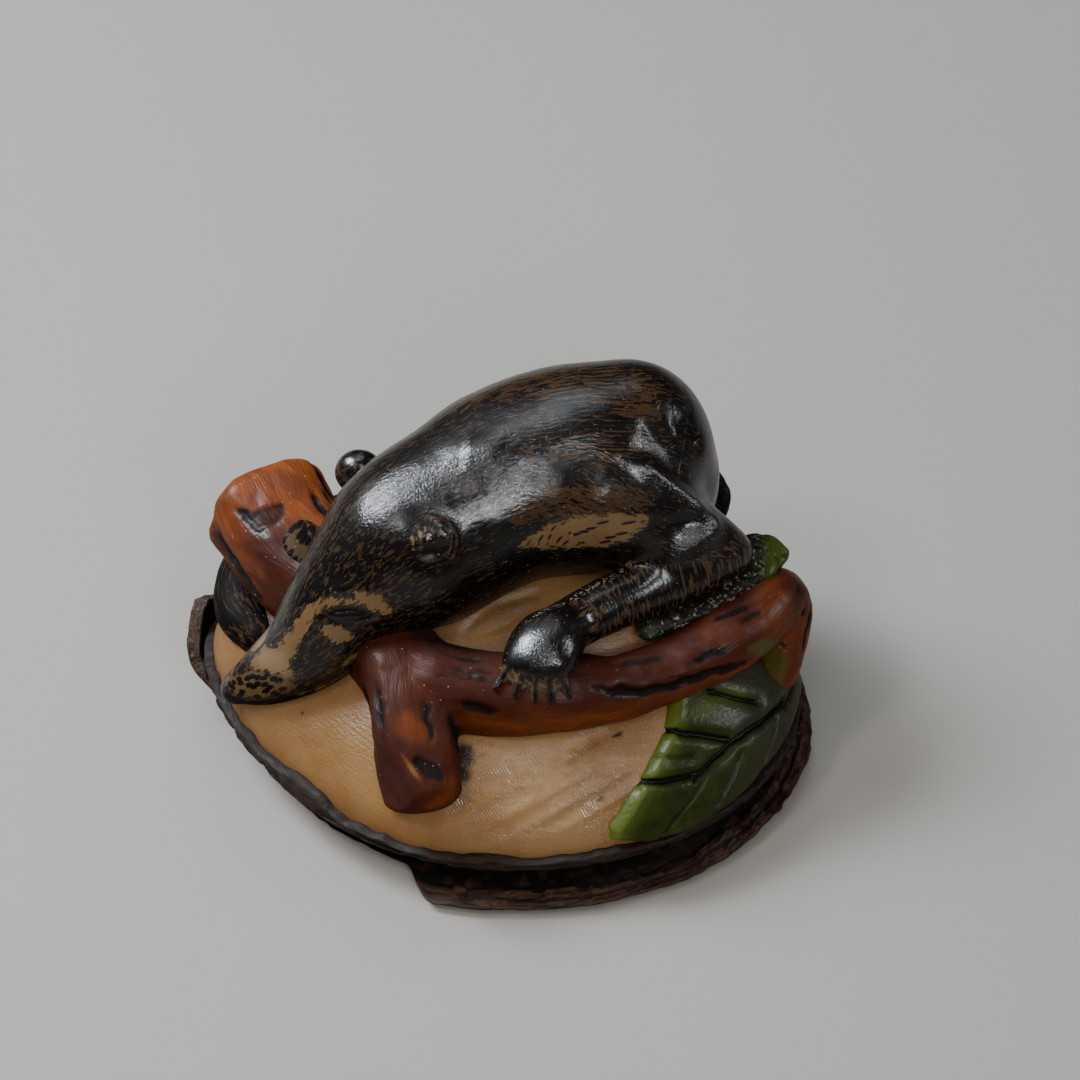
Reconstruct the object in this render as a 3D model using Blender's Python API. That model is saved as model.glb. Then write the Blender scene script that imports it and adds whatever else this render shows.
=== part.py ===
"""Tagua carving of a resting coatimundi on a branch, in what is left of the seed's shell.

Two pieces: the carved nut (animal, branch, leaves and ground, cut from one vegetable-ivory
seed) and the shell dish it sits in. Sizes below are millimetres, the model is in metres.
+X runs along the carving from snout to rump, +Y to its back, +Z up. The origin is the middle
of the flat foot.
"""

import math

import bmesh
import bpy
import numpy as np
from mathutils import Euler, Matrix, Vector

MM = 0.001

# Nut: egg-shaped in plan, its narrow end to the left and turned a little to the back.
NUT_CENTRE = (-1.4, 2.0)
NUT_TURN = math.radians(-9)
NUT_LEFT, NUT_RIGHT, NUT_FRONT, NUT_BACK = 27.6, 26.8, 23.6, 20.4
NUT_TAPER, NUT_LEAN = 0.28, 0.09
RIM_HEIGHT, RIM_RISE = 5.0, 2.4
DOME, KEEL, KEEL_POWER = 13.4, 3.3, 0.62
SKIN = 0.9
SEAT = ((1.0, 2.0, 13.0), (19.0, 11.0, 8.4))

# Shell dish: floor, wall, the gap that keeps it clear of the nut, and its broken edge.
SHELL_FLOOR, SHELL_WALL, SHELL_GAP = 1.2, 1.3, 0.5
LIP_TOP, BACK_TOP, RIGHT_TOP, FLAKE_TOP = 1.5, 6.0, 2.4, 10.2
LIP_REACH, RIGHT_REACH, UNDER_REACH, FLAKE_REACH = -0.3, -0.1, -4.4, 0.2
FOOT = 0.62

# Surface of the joined carving.
VOXEL, SMOOTHING, NUT_TRIANGLES = 0.42, 3, 7400

# Stations along each round form: x, y, z, side radius, height radius.
BODY = (
    (-26.3, -3.6, 9.9, 1.5, 1.5),
    (-23.2, -5.2, 13.0, 2.8, 3.0),
    (-19.2, -5.6, 16.8, 3.9, 4.4),
    (-15.5, -4.0, 21.3, 5.3, 5.9),
    (-10.7, -1.6, 24.8, 7.8, 8.4),
    (-5.4, 1.4, 26.9, 8.6, 8.6),
    (-0.7, 4.2, 28.0, 9.2, 9.3),
    (4.6, 5.8, 28.4, 9.6, 9.8),
    (8.4, 6.8, 27.6, 9.4, 9.9),
    (10.2, 7.6, 25.0, 8.0, 8.8),
)
THIGH = (
    (7.0, 1.6, 29.4, 6.2, 6.6),
    (12.0, 0.6, 27.4, 4.6, 5.0),
    (16.6, 0.2, 25.0, 3.1, 3.3),
    (19.0, 0.4, 23.2, 2.5, 2.5),
)
SHANK = (
    (19.0, 0.2, 23.2, 2.4, 2.4),
    (14.6, -2.4, 22.6, 2.6, 2.7),
    (9.1, -5.0, 22.0, 2.6, 2.7),
    (5.0, -7.8, 21.7, 2.6, 2.4),
    (2.6, -10.2, 21.6, 2.8, 2.2),
)
FAR_LEG = (
    (9.0, 14.0, 27.0, 5.0, 6.0),
    (13.0, 17.6, 22.0, 3.2, 3.4),
    (8.0, 19.0, 18.5, 2.6, 2.6),
    (0.0, 18.6, 17.0, 2.6, 2.2),
)
FORELEG = ((-8.0, 9.0, 23.0, 3.4, 3.4), (-13.6, 6.6, 22.2, 2.4, 2.4), (-18.0, 2.8, 22.2, 2.0, 1.6))
TAIL = (
    (13.0, 14.5, 22.5, 2.8, 2.8),
    (17.4, 15.6, 17.0, 2.9, 2.9),
    (9.0, 20.0, 13.0, 3.0, 3.0),
    (-8.0, 19.6, 12.4, 3.0, 3.0),
    (-19.4, 15.2, 13.2, 2.8, 2.7),
    (-24.6, 10.4, 13.6, 2.8, 2.6),
    (-25.9, 6.4, 13.6, 2.7, 2.6),
    (-25.6, 2.9, 13.3, 2.6, 2.4),
    (-24.2, 0.5, 12.8, 2.0, 2.0),
)
PAW = (
    (4.4, -8.6, 21.8, 2.5, 2.3),
    (2.6, -11.2, 22.3, 3.3, 2.8),
    (1.6, -13.5, 21.7, 3.3, 2.2),
    (1.3, -14.9, 20.7, 2.7, 1.0),
)
TOES = (
    ((-0.8, -14.2, 22.0), (-2.3, -15.3, 20.1)),
    ((0.3, -15.2, 21.6), (-0.4, -15.9, 19.7)),
    ((1.5, -15.5, 21.5), (1.4, -16.1, 19.3)),
    ((2.7, -15.6, 21.4), (2.9, -16.2, 19.2)),
    ((3.8, -15.3, 21.3), (4.6, -15.7, 19.3)),
)
LIMB = (
    (-10.2, -9.2, 16.4, 4.0, 4.0),
    (-7.0, -11.2, 16.8, 4.0, 3.9),
    (-1.8, -12.5, 17.1, 3.8, 3.7),
    (3.7, -12.3, 17.3, 3.7, 3.6),
    (9.1, -10.9, 16.6, 3.0, 2.9),
    (14.6, -8.1, 16.7, 2.9, 2.8),
    (19.4, -4.8, 17.4, 3.2, 3.1),
    (22.9, -0.6, 17.8, 3.1, 3.0),
    (24.0, 0.6, 16.4, 2.9, 2.9),
    (24.0, -0.8, 13.8, 2.7, 2.7),
    (23.7, -2.2, 11.4, 2.2, 2.4),
    (23.1, -3.2, 9.4, 1.6, 1.8),
)
BACK_LEAF = (
    (11.4, -5.8, 19.0, 1.2, 0.8),
    (14.5, -4.0, 19.6, 1.8, 0.9),
    (18.1, -1.6, 20.2, 2.2, 1.0),
    (21.4, 1.4, 20.8, 2.4, 1.1),
    (22.6, 3.6, 20.8, 2.4, 1.2),
)
# Edges of the front leaf: angle round the nut and rise, in degrees.
FRONT_HIGH = ((-61, 12), (-55.5, 22), (-48, 31), (-40.5, 38), (-33.5, 45), (-23, 47), (-12, 46), (-4, 42), (6, 38))
FRONT_LOW = ((-61, 7.5), (-53, 1.5), (-46, 1), (-38, 2), (-26, 5), (-14, 8), (-2, 9.5), (6, 10))
LOG = (
    (-23.8, 10.0, 20.9, 5.8, 5.0),
    (-21.0, 5.2, 19.4, 5.3, 5.0),
    (-16.8, 0.4, 18.1, 4.7, 4.5),
    (-13.0, -4.4, 17.0, 3.9, 3.9),
    (-10.2, -9.5, 16.4, 4.1, 4.1),
    (-9.6, -14.2, 14.7, 3.9, 3.9),
    (-9.1, -17.4, 12.4, 3.8, 3.8),
    (-8.8, -19.2, 10.9, 3.6, 3.6),
)


def smooth(low, high, value):
    """0 below low, 1 above high, an even rise between them."""
    part = min(max((value - low) / (high - low), 0.0), 1.0)
    return part * part * (3 - 2 * part)


def spline(rows, steps):
    """Catmull-Rom rows between the given rows, steps to each gap."""
    rows = np.array(rows, float)
    padded = np.vstack([2 * rows[0] - rows[1], rows, 2 * rows[-1] - rows[-2]])
    found = []
    for i in range(len(rows) - 1):
        p0, p1, p2, p3 = padded[i : i + 4]
        for t in np.arange(steps) / steps:
            bend = (2 * p0 - 5 * p1 + 4 * p2 - p3) * t * t + (-p0 + 3 * p1 - 3 * p2 + p3) * t**3
            found.append(0.5 * (2 * p1 + (p2 - p0) * t + bend))
    return np.array(found + [rows[-1]])


def bridge(bm, rings, capped=True):
    """Closed tube through rings of the same number of points."""
    loops = [[bm.verts.new(point) for point in ring] for ring in rings]
    count = len(loops[0])
    for near, far in zip(loops, loops[1:]):
        for j in range(count):
            k = (j + 1) % count
            bm.faces.new((near[j], near[k], far[k], far[j]))
    if capped:
        bm.faces.new(loops[0][::-1])
        bm.faces.new(loops[-1])
    return loops


def add_form(bm, stations, up=(0, 0, 1), steps=4, sides=20, power=2.0, blunt=1.0, flutes=0.0):
    """Tube along the stations, its section a superellipse, its ends rounded over.

    Flutes are shallow grooves along it, as deep as this part of its radius.
    """
    rows = spline(stations, steps)
    along = np.gradient(rows[:, :3], axis=0)
    rings = []
    for end in (-1, 0, 1):
        for i in {-1: [0] * 4, 0: range(len(rows)), 1: [-1] * 4}[end]:
            rings.append((i, end))
    angles = {-1: (83, 70, 50, 25), 1: (25, 50, 70, 83)}
    seen, points = {-1: 0, 1: 0}, []
    for i, end in rings:
        centre, wide, high = Vector(rows[i, :3]), rows[i, 3], rows[i, 4]
        forward = Vector(along[i]).normalized()
        if end:
            turn = math.radians(angles[end][seen[end]])
            seen[end] += 1
            centre += forward * end * blunt * min(wide, high) * math.sin(turn)
            wide, high = wide * math.cos(turn), high * math.cos(turn)
        side = forward.cross(Vector(up)).normalized()
        top = side.cross(forward)
        ring = []
        for k in range(sides):
            turn = 2 * math.pi * k / sides
            c, s = math.cos(turn), math.sin(turn)
            c = math.copysign(abs(c) ** (2 / power), c)
            s = math.copysign(abs(s) ** (2 / power), s)
            size = 1 - flutes * max(math.cos(5 * turn + 0.4 * math.sin(0.5 * i)), 0) ** 3
            ring.append(centre + (side * wide * c + top * high * s) * size)
        points.append(ring)
    bridge(bm, points)


def add_ball(bm, centre, radii, turn=(0, 0, 0)):
    """Ellipsoid with its axes turned by the angles, in degrees."""
    turned = Euler([math.radians(angle) for angle in turn]).to_matrix().to_4x4()
    place = Matrix.Translation(centre) @ turned @ Matrix.Diagonal((*radii, 1))
    bmesh.ops.create_uvsphere(bm, u_segments=20, v_segments=12, radius=1, matrix=place)


def nut_plan(angle, grow=0.0):
    """Outline of the nut from above at this angle, grown outwards."""
    c, s = math.cos(angle), math.sin(angle)
    along = (NUT_RIGHT if c > 0 else NUT_LEFT) * c
    across = (NUT_FRONT if s < 0 else NUT_BACK) * s * (1 - NUT_TAPER * min(c, 0) ** 2)
    size = math.hypot(along, across)
    along, across = along * (size + grow) / size, across * (size + grow) / size
    ct, st = math.cos(NUT_TURN), math.sin(NUT_TURN)
    return NUT_CENTRE[0] + along * ct - across * st, NUT_CENTRE[1] + along * st + across * ct


def rim_height(angle):
    return RIM_HEIGHT + RIM_RISE * min(math.cos(angle), 0) ** 4


def nut_point(angle, rise, grow=0.0):
    """Point at an angle round the nut and a rise above its rim (dome) or below it (keel)."""
    reach = abs(math.cos(rise)) ** (1 if rise > 0 else KEEL_POWER)
    reach *= 1 + NUT_LEAN * max(math.sin(rise), 0) * max(math.cos(angle), 0) ** 2
    x, y = nut_plan(angle, grow + SKIN * (1 - smooth(0.03, 0.08, rise)))
    x = NUT_CENTRE[0] + (x - NUT_CENTRE[0]) * reach
    y = NUT_CENTRE[1] + (y - NUT_CENTRE[1]) * reach
    tall = DOME if rise > 0 else KEEL + rim_height(angle) - RIM_HEIGHT
    return Vector((x, y, rim_height(angle) + (tall + grow) * math.sin(rise)))


def turns(count):
    return [2 * math.pi * k / count for k in range(count)]


def add_nut(bm):
    rises = [math.radians(r) for r in (-88, -75, -60, -45, -30, -15, -5, 0, 6, 14, 24, 34, 45, 56, 68, 79, 88)]
    bridge(bm, [[nut_point(angle, rise) for angle in turns(64)] for rise in rises])


def add_leaf(bm, low, high, first, last, lift, cells=(18, 12)):
    """Raised leaf on the dome between two angles; low and high give its edges as rises."""
    rows = []
    for face, away in ((0, -1.2), (1, lift)):
        grid = []
        for i in range(cells[0] + 1):
            part = i / cells[0]
            angle = math.radians(first + (last - first) * part)
            bottom, top = low(part), high(part)
            line = []
            for j in range(cells[1] + 1):
                rise = math.radians(bottom + (top - bottom) * j / cells[1])
                line.append(bm.verts.new(nut_point(angle, rise, away)))
            grid.append(line)
        rows.append(grid)
    under, over = rows
    n, m = cells
    for i in range(n):
        for j in range(m):
            bm.faces.new((over[i][j], over[i + 1][j], over[i + 1][j + 1], over[i][j + 1]))
            bm.faces.new((under[i][j], under[i][j + 1], under[i + 1][j + 1], under[i + 1][j]))
    edge = [(i, 0) for i in range(n)] + [(n, j) for j in range(m)]
    edge += [(i, m) for i in range(n, 0, -1)] + [(0, j) for j in range(m, 0, -1)]
    for (a, b), (c, d) in zip(edge, edge[1:] + edge[:1]):
        bm.faces.new((under[a][b], under[c][d], over[c][d], over[a][b]))


def add_leaves(bm):
    low = lambda part: np.interp(-61 + 67 * part, *np.transpose(FRONT_LOW))
    high = lambda part: np.interp(-61 + 67 * part, *np.transpose(FRONT_HIGH))
    add_leaf(bm, low, high, -61, 6, 0.9)
    add_leaf(bm, lambda part: 4, lambda part: 30 + 16 * math.sin(math.pi * part), 6, 40, 0.6)
    add_form(bm, BACK_LEAF, steps=4)


def add_animal(bm):
    add_form(bm, BODY, (-0.35, -0.15, 0.9))
    add_form(bm, THIGH)
    add_form(bm, SHANK)
    add_form(bm, FAR_LEG)
    add_form(bm, FORELEG)
    add_form(bm, TAIL)
    add_ball(bm, (9.9, 7.6, 28.6), (8.1, 8.4, 9.4))
    add_form(bm, PAW, blunt=0.6)
    for root, tip in TOES:
        inner = [Vector(end) + Vector((0, 0.5, drop)) for end, drop in ((root, -0.4), (tip, 0.1))]
        add_form(bm, ((*inner[0], 0.8, 0.8), (*inner[1], 0.5, 0.5)), steps=2, sides=8)
    add_ball(bm, (-20.0, 2.0, 22.6), (2.3, 2.6, 1.1), (0, -25, 35))
    add_ball(bm, (-8.1, -6.2, 29.8), (2.4, 1.5, 2.3), (35, 0, 20))
    add_ball(bm, (-14.8, 7.2, 26.9), (2.3, 2.0, 2.2))


def carved_nut():
    """Animal, branch, leaves and ground joined into one body."""
    bm = bmesh.new()
    add_nut(bm)
    add_ball(bm, *SEAT)
    add_leaves(bm)
    add_form(bm, LIMB, sides=40, power=2.4, flutes=0.14)
    add_form(bm, LOG, sides=40, power=3.0, blunt=0.45, flutes=0.08)
    add_animal(bm)
    return joined("carved_nut", bm)


def joined(name, bm):
    """One closed skin over all the overlapping forms, eased and thinned to its triangle count."""
    piece = from_bmesh(name, bm)
    join = piece.modifiers.new("join", "REMESH")
    join.mode, join.voxel_size, join.use_smooth_shade = "VOXEL", VOXEL * MM, True
    ease = piece.modifiers.new("ease", "SMOOTH")
    ease.factor, ease.iterations = 0.5, SMOOTHING
    thin = piece.modifiers.new("thin", "DECIMATE")
    bpy.context.view_layer.update()
    thin.show_viewport = thin.show_render = False
    full = piece.evaluated_get(bpy.context.evaluated_depsgraph_get()).to_mesh()
    full.calc_loop_triangles()
    thin.ratio = NUT_TRIANGLES / len(full.loop_triangles)
    thin.show_viewport = thin.show_render = True
    return piece


def bump(centre, width, value):
    return math.exp(-(((value - centre) / width) ** 2))


def shell_edge(angle):
    """Height of the broken shell edge and how far it stands outside the nut's plan."""
    turn = math.degrees(angle) % 360
    front = smooth(176, 214, turn) * (1 - smooth(318, 352, turn))
    right = 1 - smooth(35, 95, turn) + smooth(300, 340, turn)
    top = BACK_TOP + (RIGHT_TOP - BACK_TOP) * right
    top += (LIP_TOP - top) * front + (FLAKE_TOP - BACK_TOP) * bump(170, 13, turn)
    reach = SHELL_GAP + SHELL_WALL + FLAKE_REACH * bump(170, 14, turn)
    reach += UNDER_REACH * smooth(182, 200, turn) * (1 - smooth(256, 266, turn))
    reach += LIP_REACH * (smooth(260, 268, turn) + 1 - smooth(10, 35, turn))
    reach += RIGHT_REACH * (smooth(290, 340, turn) + 1 - smooth(10, 35, turn))
    return top, reach


def shell_profile(angle):
    """Radius and height points from the middle of the floor over the edge to the foot."""
    x, y = nut_plan(angle, SKIN)
    plan = math.hypot(x - NUT_CENTRE[0], y - NUT_CENTRE[1])
    top, reach = shell_edge(angle)
    rim = rim_height(angle)
    tall = KEEL + rim - RIM_HEIGHT

    def inner(z):
        drop = min(max((rim - z - SHELL_GAP) / tall, 0), 0.99)
        return (plan + SHELL_GAP) * (1 - drop * drop) ** (KEEL_POWER / 2)

    heights = [SHELL_FLOOR + (top - SHELL_FLOOR) * k / 6 for k in range(7)]
    points = [(0.02 * plan, SHELL_FLOOR), (0.5 * inner(SHELL_FLOOR), SHELL_FLOOR)]
    points += [(inner(z), z) for z in heights]
    edge, last = plan + reach, inner(top)
    points += [(last + (edge - last) * part, top) for part in (0.35, 0.7, 0.94)]
    foot = FOOT * plan
    bulge = 0.35 - 0.24 * bump(172, 16, math.degrees(angle) % 360)
    for part in (1, 0.75, 0.5, 0.25, 0.08, 0):
        points.append((foot + (edge - foot) * part**bulge, part * (top - 0.4 * SHELL_WALL)))
    return points + [(0.5 * foot, 0), (0.02 * plan, 0)]


def shell_dish():
    """What is left of the hard shell: floor, foot, back wall, left flake and front lip."""
    bm = bmesh.new()
    columns = []
    for angle in turns(72):
        x, y = nut_plan(angle)
        x, y = x - NUT_CENTRE[0], y - NUT_CENTRE[1]
        x, y = x / math.hypot(x, y), y / math.hypot(x, y)
        profile = shell_profile(angle)
        columns.append([Vector((NUT_CENTRE[0] + x * r, NUT_CENTRE[1] + y * r, z)) for r, z in profile])
    bridge(bm, list(zip(*columns)))
    return from_bmesh("shell_dish", bm)


def from_bmesh(name, bm):
    bmesh.ops.scale(bm, vec=(MM, MM, MM), verts=bm.verts)
    bmesh.ops.recalc_face_normals(bm, faces=bm.faces)
    mesh = bpy.data.meshes.new(name)
    bm.to_mesh(mesh)
    bm.free()
    mesh.shade_smooth()
    piece = bpy.data.objects.new(name, mesh)
    bpy.context.collection.objects.link(piece)
    return piece


def paint(piece, colour, roughness):
    material = bpy.data.materials.new(piece.name)
    material.use_nodes = True
    shader = material.node_tree.nodes["Principled BSDF"]
    shader.inputs["Base Color"].default_value = (*colour, 1)
    shader.inputs["Roughness"].default_value = roughness
    piece.data.materials.append(material)


for old in list(bpy.data.objects):
    bpy.data.objects.remove(old)
paint(carved_nut(), (0.30, 0.17, 0.08), 0.25)
paint(shell_dish(), (0.045, 0.022, 0.012), 0.6)
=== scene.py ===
"""Looks of the tagua coatimundi carving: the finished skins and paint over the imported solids.

The carving is one nut cut into ground, branch, leaves and animal. Each of them is a skin of its
own here, and together they stand for the solid carved_nut; the husk stands for shell_dish.
Lengths are millimetres until a mesh is made.
"""

import itertools
import math

import bpy
import numpy as np
from mathutils import Euler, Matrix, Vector


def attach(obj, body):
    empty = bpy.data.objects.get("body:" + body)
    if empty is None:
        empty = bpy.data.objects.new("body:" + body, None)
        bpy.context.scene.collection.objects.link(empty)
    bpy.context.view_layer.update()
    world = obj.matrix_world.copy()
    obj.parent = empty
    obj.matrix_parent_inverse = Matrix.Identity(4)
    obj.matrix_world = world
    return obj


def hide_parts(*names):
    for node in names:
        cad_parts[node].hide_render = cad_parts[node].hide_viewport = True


MM = 0.001

# The nut: egg-shaped in plan, its narrow end to the left.
NUT_CENTRE = np.array((-1.4, 2.0))
NUT_TURN = math.radians(-9)
NUT_LEFT, NUT_RIGHT, NUT_FRONT, NUT_BACK = 27.6, 26.8, 23.6, 20.4
NUT_TAPER, NUT_LEAN = 0.28, 0.09
RIM_HEIGHT, RIM_RISE = 5.0, 2.4
DOME, KEEL, KEEL_POWER = 13.4, 3.3, 0.62
SKIN = 0.9
SEAT = ((1.0, 2.0, 13.0), (19.0, 11.0, 8.4))

# The shell dish: floor, wall, the gap round the nut, and its broken edge.
SHELL_FLOOR, SHELL_WALL, SHELL_GAP = 1.2, 1.3, 0.5
LIP_TOP, BACK_TOP, RIGHT_TOP, FLAKE_TOP = 1.5, 6.0, 2.4, 10.2
LIP_REACH, RIGHT_REACH, UNDER_REACH, FLAKE_REACH = -0.3, -0.1, -4.4, 0.2
FOOT = 0.62

# Stations along each round form: x, y, z, side radius, height radius.
BODY = (
    (-26.3, -3.6, 9.9, 1.5, 1.5),
    (-23.2, -5.2, 13.0, 2.8, 3.0),
    (-19.2, -5.6, 16.8, 3.9, 4.4),
    (-15.5, -4.0, 21.3, 5.3, 5.9),
    (-10.7, -1.6, 24.8, 7.8, 8.4),
    (-5.4, 1.4, 26.9, 8.6, 8.6),
    (-0.7, 4.2, 28.0, 9.2, 9.3),
    (4.6, 5.8, 28.4, 9.6, 9.8),
    (8.4, 6.8, 27.6, 9.4, 9.9),
    (10.2, 7.6, 25.0, 8.0, 8.8),
)
THIGH = (
    (7.0, 1.6, 29.4, 6.2, 6.6),
    (12.0, 0.6, 27.4, 4.6, 5.0),
    (16.6, 0.2, 25.0, 3.1, 3.3),
    (19.0, 0.4, 23.2, 2.5, 2.5),
)
SHANK = (
    (19.0, 0.2, 23.2, 2.4, 2.4),
    (14.6, -2.4, 22.6, 2.6, 2.7),
    (9.1, -5.0, 22.0, 2.6, 2.7),
    (5.0, -7.8, 21.7, 2.6, 2.4),
    (2.6, -10.2, 21.6, 2.8, 2.2),
)
FAR_LEG = (
    (9.0, 14.0, 27.0, 5.0, 6.0),
    (13.0, 17.6, 22.0, 3.2, 3.4),
    (8.0, 19.0, 18.5, 2.6, 2.6),
    (0.0, 18.6, 17.0, 2.6, 2.2),
)
FORELEG = ((-8.0, 9.0, 23.0, 3.4, 3.4), (-13.6, 6.6, 22.2, 2.4, 2.4), (-18.0, 2.8, 22.2, 2.0, 1.6))
TAIL = (
    (13.0, 14.5, 22.5, 2.8, 2.8),
    (17.2, 15.4, 16.6, 2.7, 2.7),
    (9.0, 20.0, 13.0, 3.0, 3.0),
    (-8.0, 19.6, 12.4, 3.0, 3.0),
    (-19.4, 15.2, 13.2, 2.8, 2.7),
    (-24.6, 10.4, 13.6, 2.8, 2.6),
    (-25.9, 6.4, 13.6, 2.7, 2.6),
    (-25.6, 2.9, 13.3, 2.6, 2.4),
    (-24.2, 0.5, 12.8, 2.0, 2.0),
)
PAW = (
    (4.4, -8.6, 21.8, 2.5, 2.3),
    (2.6, -11.2, 22.3, 3.3, 2.8),
    (1.6, -13.5, 21.7, 3.3, 2.2),
    (1.3, -14.9, 20.7, 2.7, 1.0),
)
LIMB = (
    (-10.2, -9.2, 16.4, 4.0, 4.0),
    (-7.0, -11.2, 16.8, 4.0, 3.9),
    (-1.8, -12.5, 17.1, 3.8, 3.7),
    (3.7, -12.3, 17.3, 3.7, 3.6),
    (9.1, -10.9, 16.6, 3.0, 2.9),
    (14.6, -8.1, 16.7, 2.9, 2.8),
    (19.4, -4.8, 17.4, 3.2, 3.1),
    (22.9, -0.6, 17.8, 3.1, 3.0),
    (24.0, 0.6, 16.4, 2.9, 2.9),
    (24.0, -0.8, 13.8, 2.7, 2.7),
    (23.7, -2.2, 11.4, 2.2, 2.4),
    (23.1, -3.2, 9.4, 1.6, 1.8),
)
LOG = (
    (-23.8, 10.0, 20.9, 5.8, 5.0),
    (-21.0, 5.2, 19.4, 5.3, 5.0),
    (-16.8, 0.4, 18.1, 4.7, 4.5),
    (-13.0, -4.4, 17.0, 3.9, 3.9),
    (-10.2, -9.5, 16.4, 4.1, 4.1),
    (-9.6, -14.2, 14.7, 3.9, 3.9),
    (-9.1, -17.4, 12.4, 3.8, 3.8),
    (-8.8, -19.2, 10.9, 3.6, 3.6),
)
BACK_LEAF = (
    (11.4, -5.8, 19.0, 1.2, 0.8),
    (14.5, -4.0, 19.6, 1.8, 0.9),
    (18.1, -1.6, 20.2, 2.2, 1.0),
    (21.4, 1.4, 20.8, 2.4, 1.1),
    (22.6, 3.6, 20.8, 2.4, 1.2),
)
BODY_UP = (-0.35, -0.15, 0.9)


# ---------------------------------------------------------------- numbers

BLOCK = 16384  # points measured against a course at a time


def smooth(low, high, value):
    """0 below low, 1 above high, an even rise between them."""
    part = np.clip((value - low) / (high - low), 0, 1)
    return part * part * (3 - 2 * part)


def peak(centre, width, value):
    """1 at the centre, falling away over the width to both sides of it, as a bell does."""
    return np.exp(-(((value - centre) / width) ** 2))


def unit(vectors):
    return vectors / np.linalg.norm(vectors, axis=-1, keepdims=True)


def grain(points, size, seed=0.0):
    """Smooth random field from -1 to 1: a hashed value at each lattice point, eased between them."""
    place = points / size + 17.3 * seed
    base = np.floor(place)
    part = place - base
    part = part * part * (3 - 2 * part)
    total = np.zeros(points.shape[:-1])
    for corner in itertools.product((0, 1), repeat=3):
        value = np.sin((base + corner) @ np.array((12.9898, 78.233, 37.719))) * 43758.5453
        weight = np.prod(np.where(np.array(corner) == 1, part, 1 - part), axis=-1)
        total += weight * (value - np.floor(value))
    return 2 * total - 1


def spline(rows, steps):
    """Catmull-Rom curve through the rows, steps to each gap."""
    rows = np.array(rows, float)
    padded = np.vstack([2 * rows[0] - rows[1], rows, 2 * rows[-1] - rows[-2]])
    p0, p1, p2, p3 = (padded[k : k + len(rows) - 1, None] for k in range(4))
    t = (np.arange(steps) / steps)[None, :, None]
    bend = (2 * p0 - 5 * p1 + 4 * p2 - p3) * t * t + (-p0 + 3 * p1 - 3 * p2 + p3) * t**3
    curve = 0.5 * (2 * p1 + (p2 - p0) * t + bend)
    return np.vstack([curve.reshape(-1, rows.shape[1]), rows[-1:]])


def course(stations, up=(0, 0, 1), steps=10, **habits):
    """A form's centre line with its forward, side and top directions, arc length and radii.

    Its habits are how fur is laid along it: shy courses own fewer faces, twisted ones are ringed.
    """
    rows = spline(stations, steps)
    centre = rows[:, :3]
    forward = unit(np.gradient(centre, axis=0))
    side = unit(np.cross(forward, up))
    gaps = np.linalg.norm(np.diff(centre, axis=0), axis=1)
    return habits | {
        "centre": centre,
        "forward": forward,
        "side": side,
        "top": np.cross(side, forward),
        "arc": np.concatenate([[0], np.cumsum(gaps)]),
        "radius": rows[:, 3:5],
    }


def chart(points, run):
    """Each point's distance along a course, its side and top offsets, how many radii out it lies,
    and the step of the course it is nearest to."""
    nearest = np.empty(len(points), int)
    for start in range(0, len(points), BLOCK):
        part = points[start : start + BLOCK, None] - run["centre"]
        nearest[start : start + BLOCK] = (part**2).sum(-1).argmin(1)
    away = points - run["centre"][nearest]
    ahead, side, top = ((away * run[way][nearest]).sum(-1) for way in ("forward", "side", "top"))
    radius = run["radius"][nearest]
    beyond = np.where((nearest == 0) | (nearest == len(run["arc"]) - 1), ahead, 0) / radius.min(1)
    out = np.sqrt((side / radius[:, 0]) ** 2 + (top / radius[:, 1]) ** 2 + beyond**2)
    return run["arc"][nearest] + ahead, side, top, out, nearest


def to_spot(points, spot):
    """Distance from each point to one spot."""
    return np.linalg.norm(points - spot, axis=1)


def to_line(points, line):
    """Distance from each point to a line of x, y, z corners, and the part of the line it falls on."""
    line = np.array(line, float)
    best = np.full(len(points), np.inf)
    where = np.zeros(len(points))
    for k, (a, b) in enumerate(zip(line, line[1:])):
        edge = b[:3] - a[:3]
        t = np.clip((points - a[:3]) @ edge / max(edge @ edge, 1e-9), 0, 1)
        away = np.linalg.norm(points - a[:3] - t[:, None] * edge, axis=1)
        closer = away < best
        best = np.where(closer, away, best)
        where = np.where(closer, k + t, where)
    return best, where


def lay(points, way):
    """Points pressed flat along a direction."""
    way = unit(np.array(way, float))
    return points - (points @ way)[:, None] * way


def settled(line, points, margin=5):
    """A line given roughly, laid on a surface: four times as many corners, each at the nearest of
    the surface's points within a margin of the line."""
    line = np.array(line, float)
    spot = np.linspace(0, len(line) - 1, 4 * len(line))
    line = np.stack([np.interp(spot, np.arange(len(line)), line[:, k]) for k in range(3)], -1)
    middle = line.mean(0)
    near = points[to_spot(points, middle) < margin + to_spot(line, middle).max()]
    return np.array([near[np.argmin(((near - row) ** 2).sum(-1))] for row in line])


def brush(points, *lines):
    """Signed depth inside painted strokes: a stroke's radius, its line's fourth number, less the
    distance to its line, and the deepest where several are given."""
    depths = []
    for line in lines:
        away, where = to_line(points, line)
        radii = np.array([row[3] for row in line])
        depths.append(np.interp(where, np.arange(len(line)), radii) - away)
    return np.max(depths, axis=0)


def painted(low, high, points, *lines):
    """0 outside painted strokes and 1 inside them, the rise lying between two depths."""
    return smooth(low, high, brush(points, *lines))


def gouge(points, line, width, depth):
    """Round-bottomed cut along a line, fading out over its two ends; negative raises a ridge."""
    away, where = to_line(points, line)
    last = len(line) - 1
    fade = smooth(0, 0.25 * last, where) * (1 - smooth(0.75 * last, last, where))
    return -depth * peak(0, width, away) * (0.35 + 0.65 * fade)


# ---------------------------------------------------------------- shapes

CAP = np.radians((86, 76, 64, 52, 39, 26, 13))  # how far round its end each closing ring lies


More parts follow.
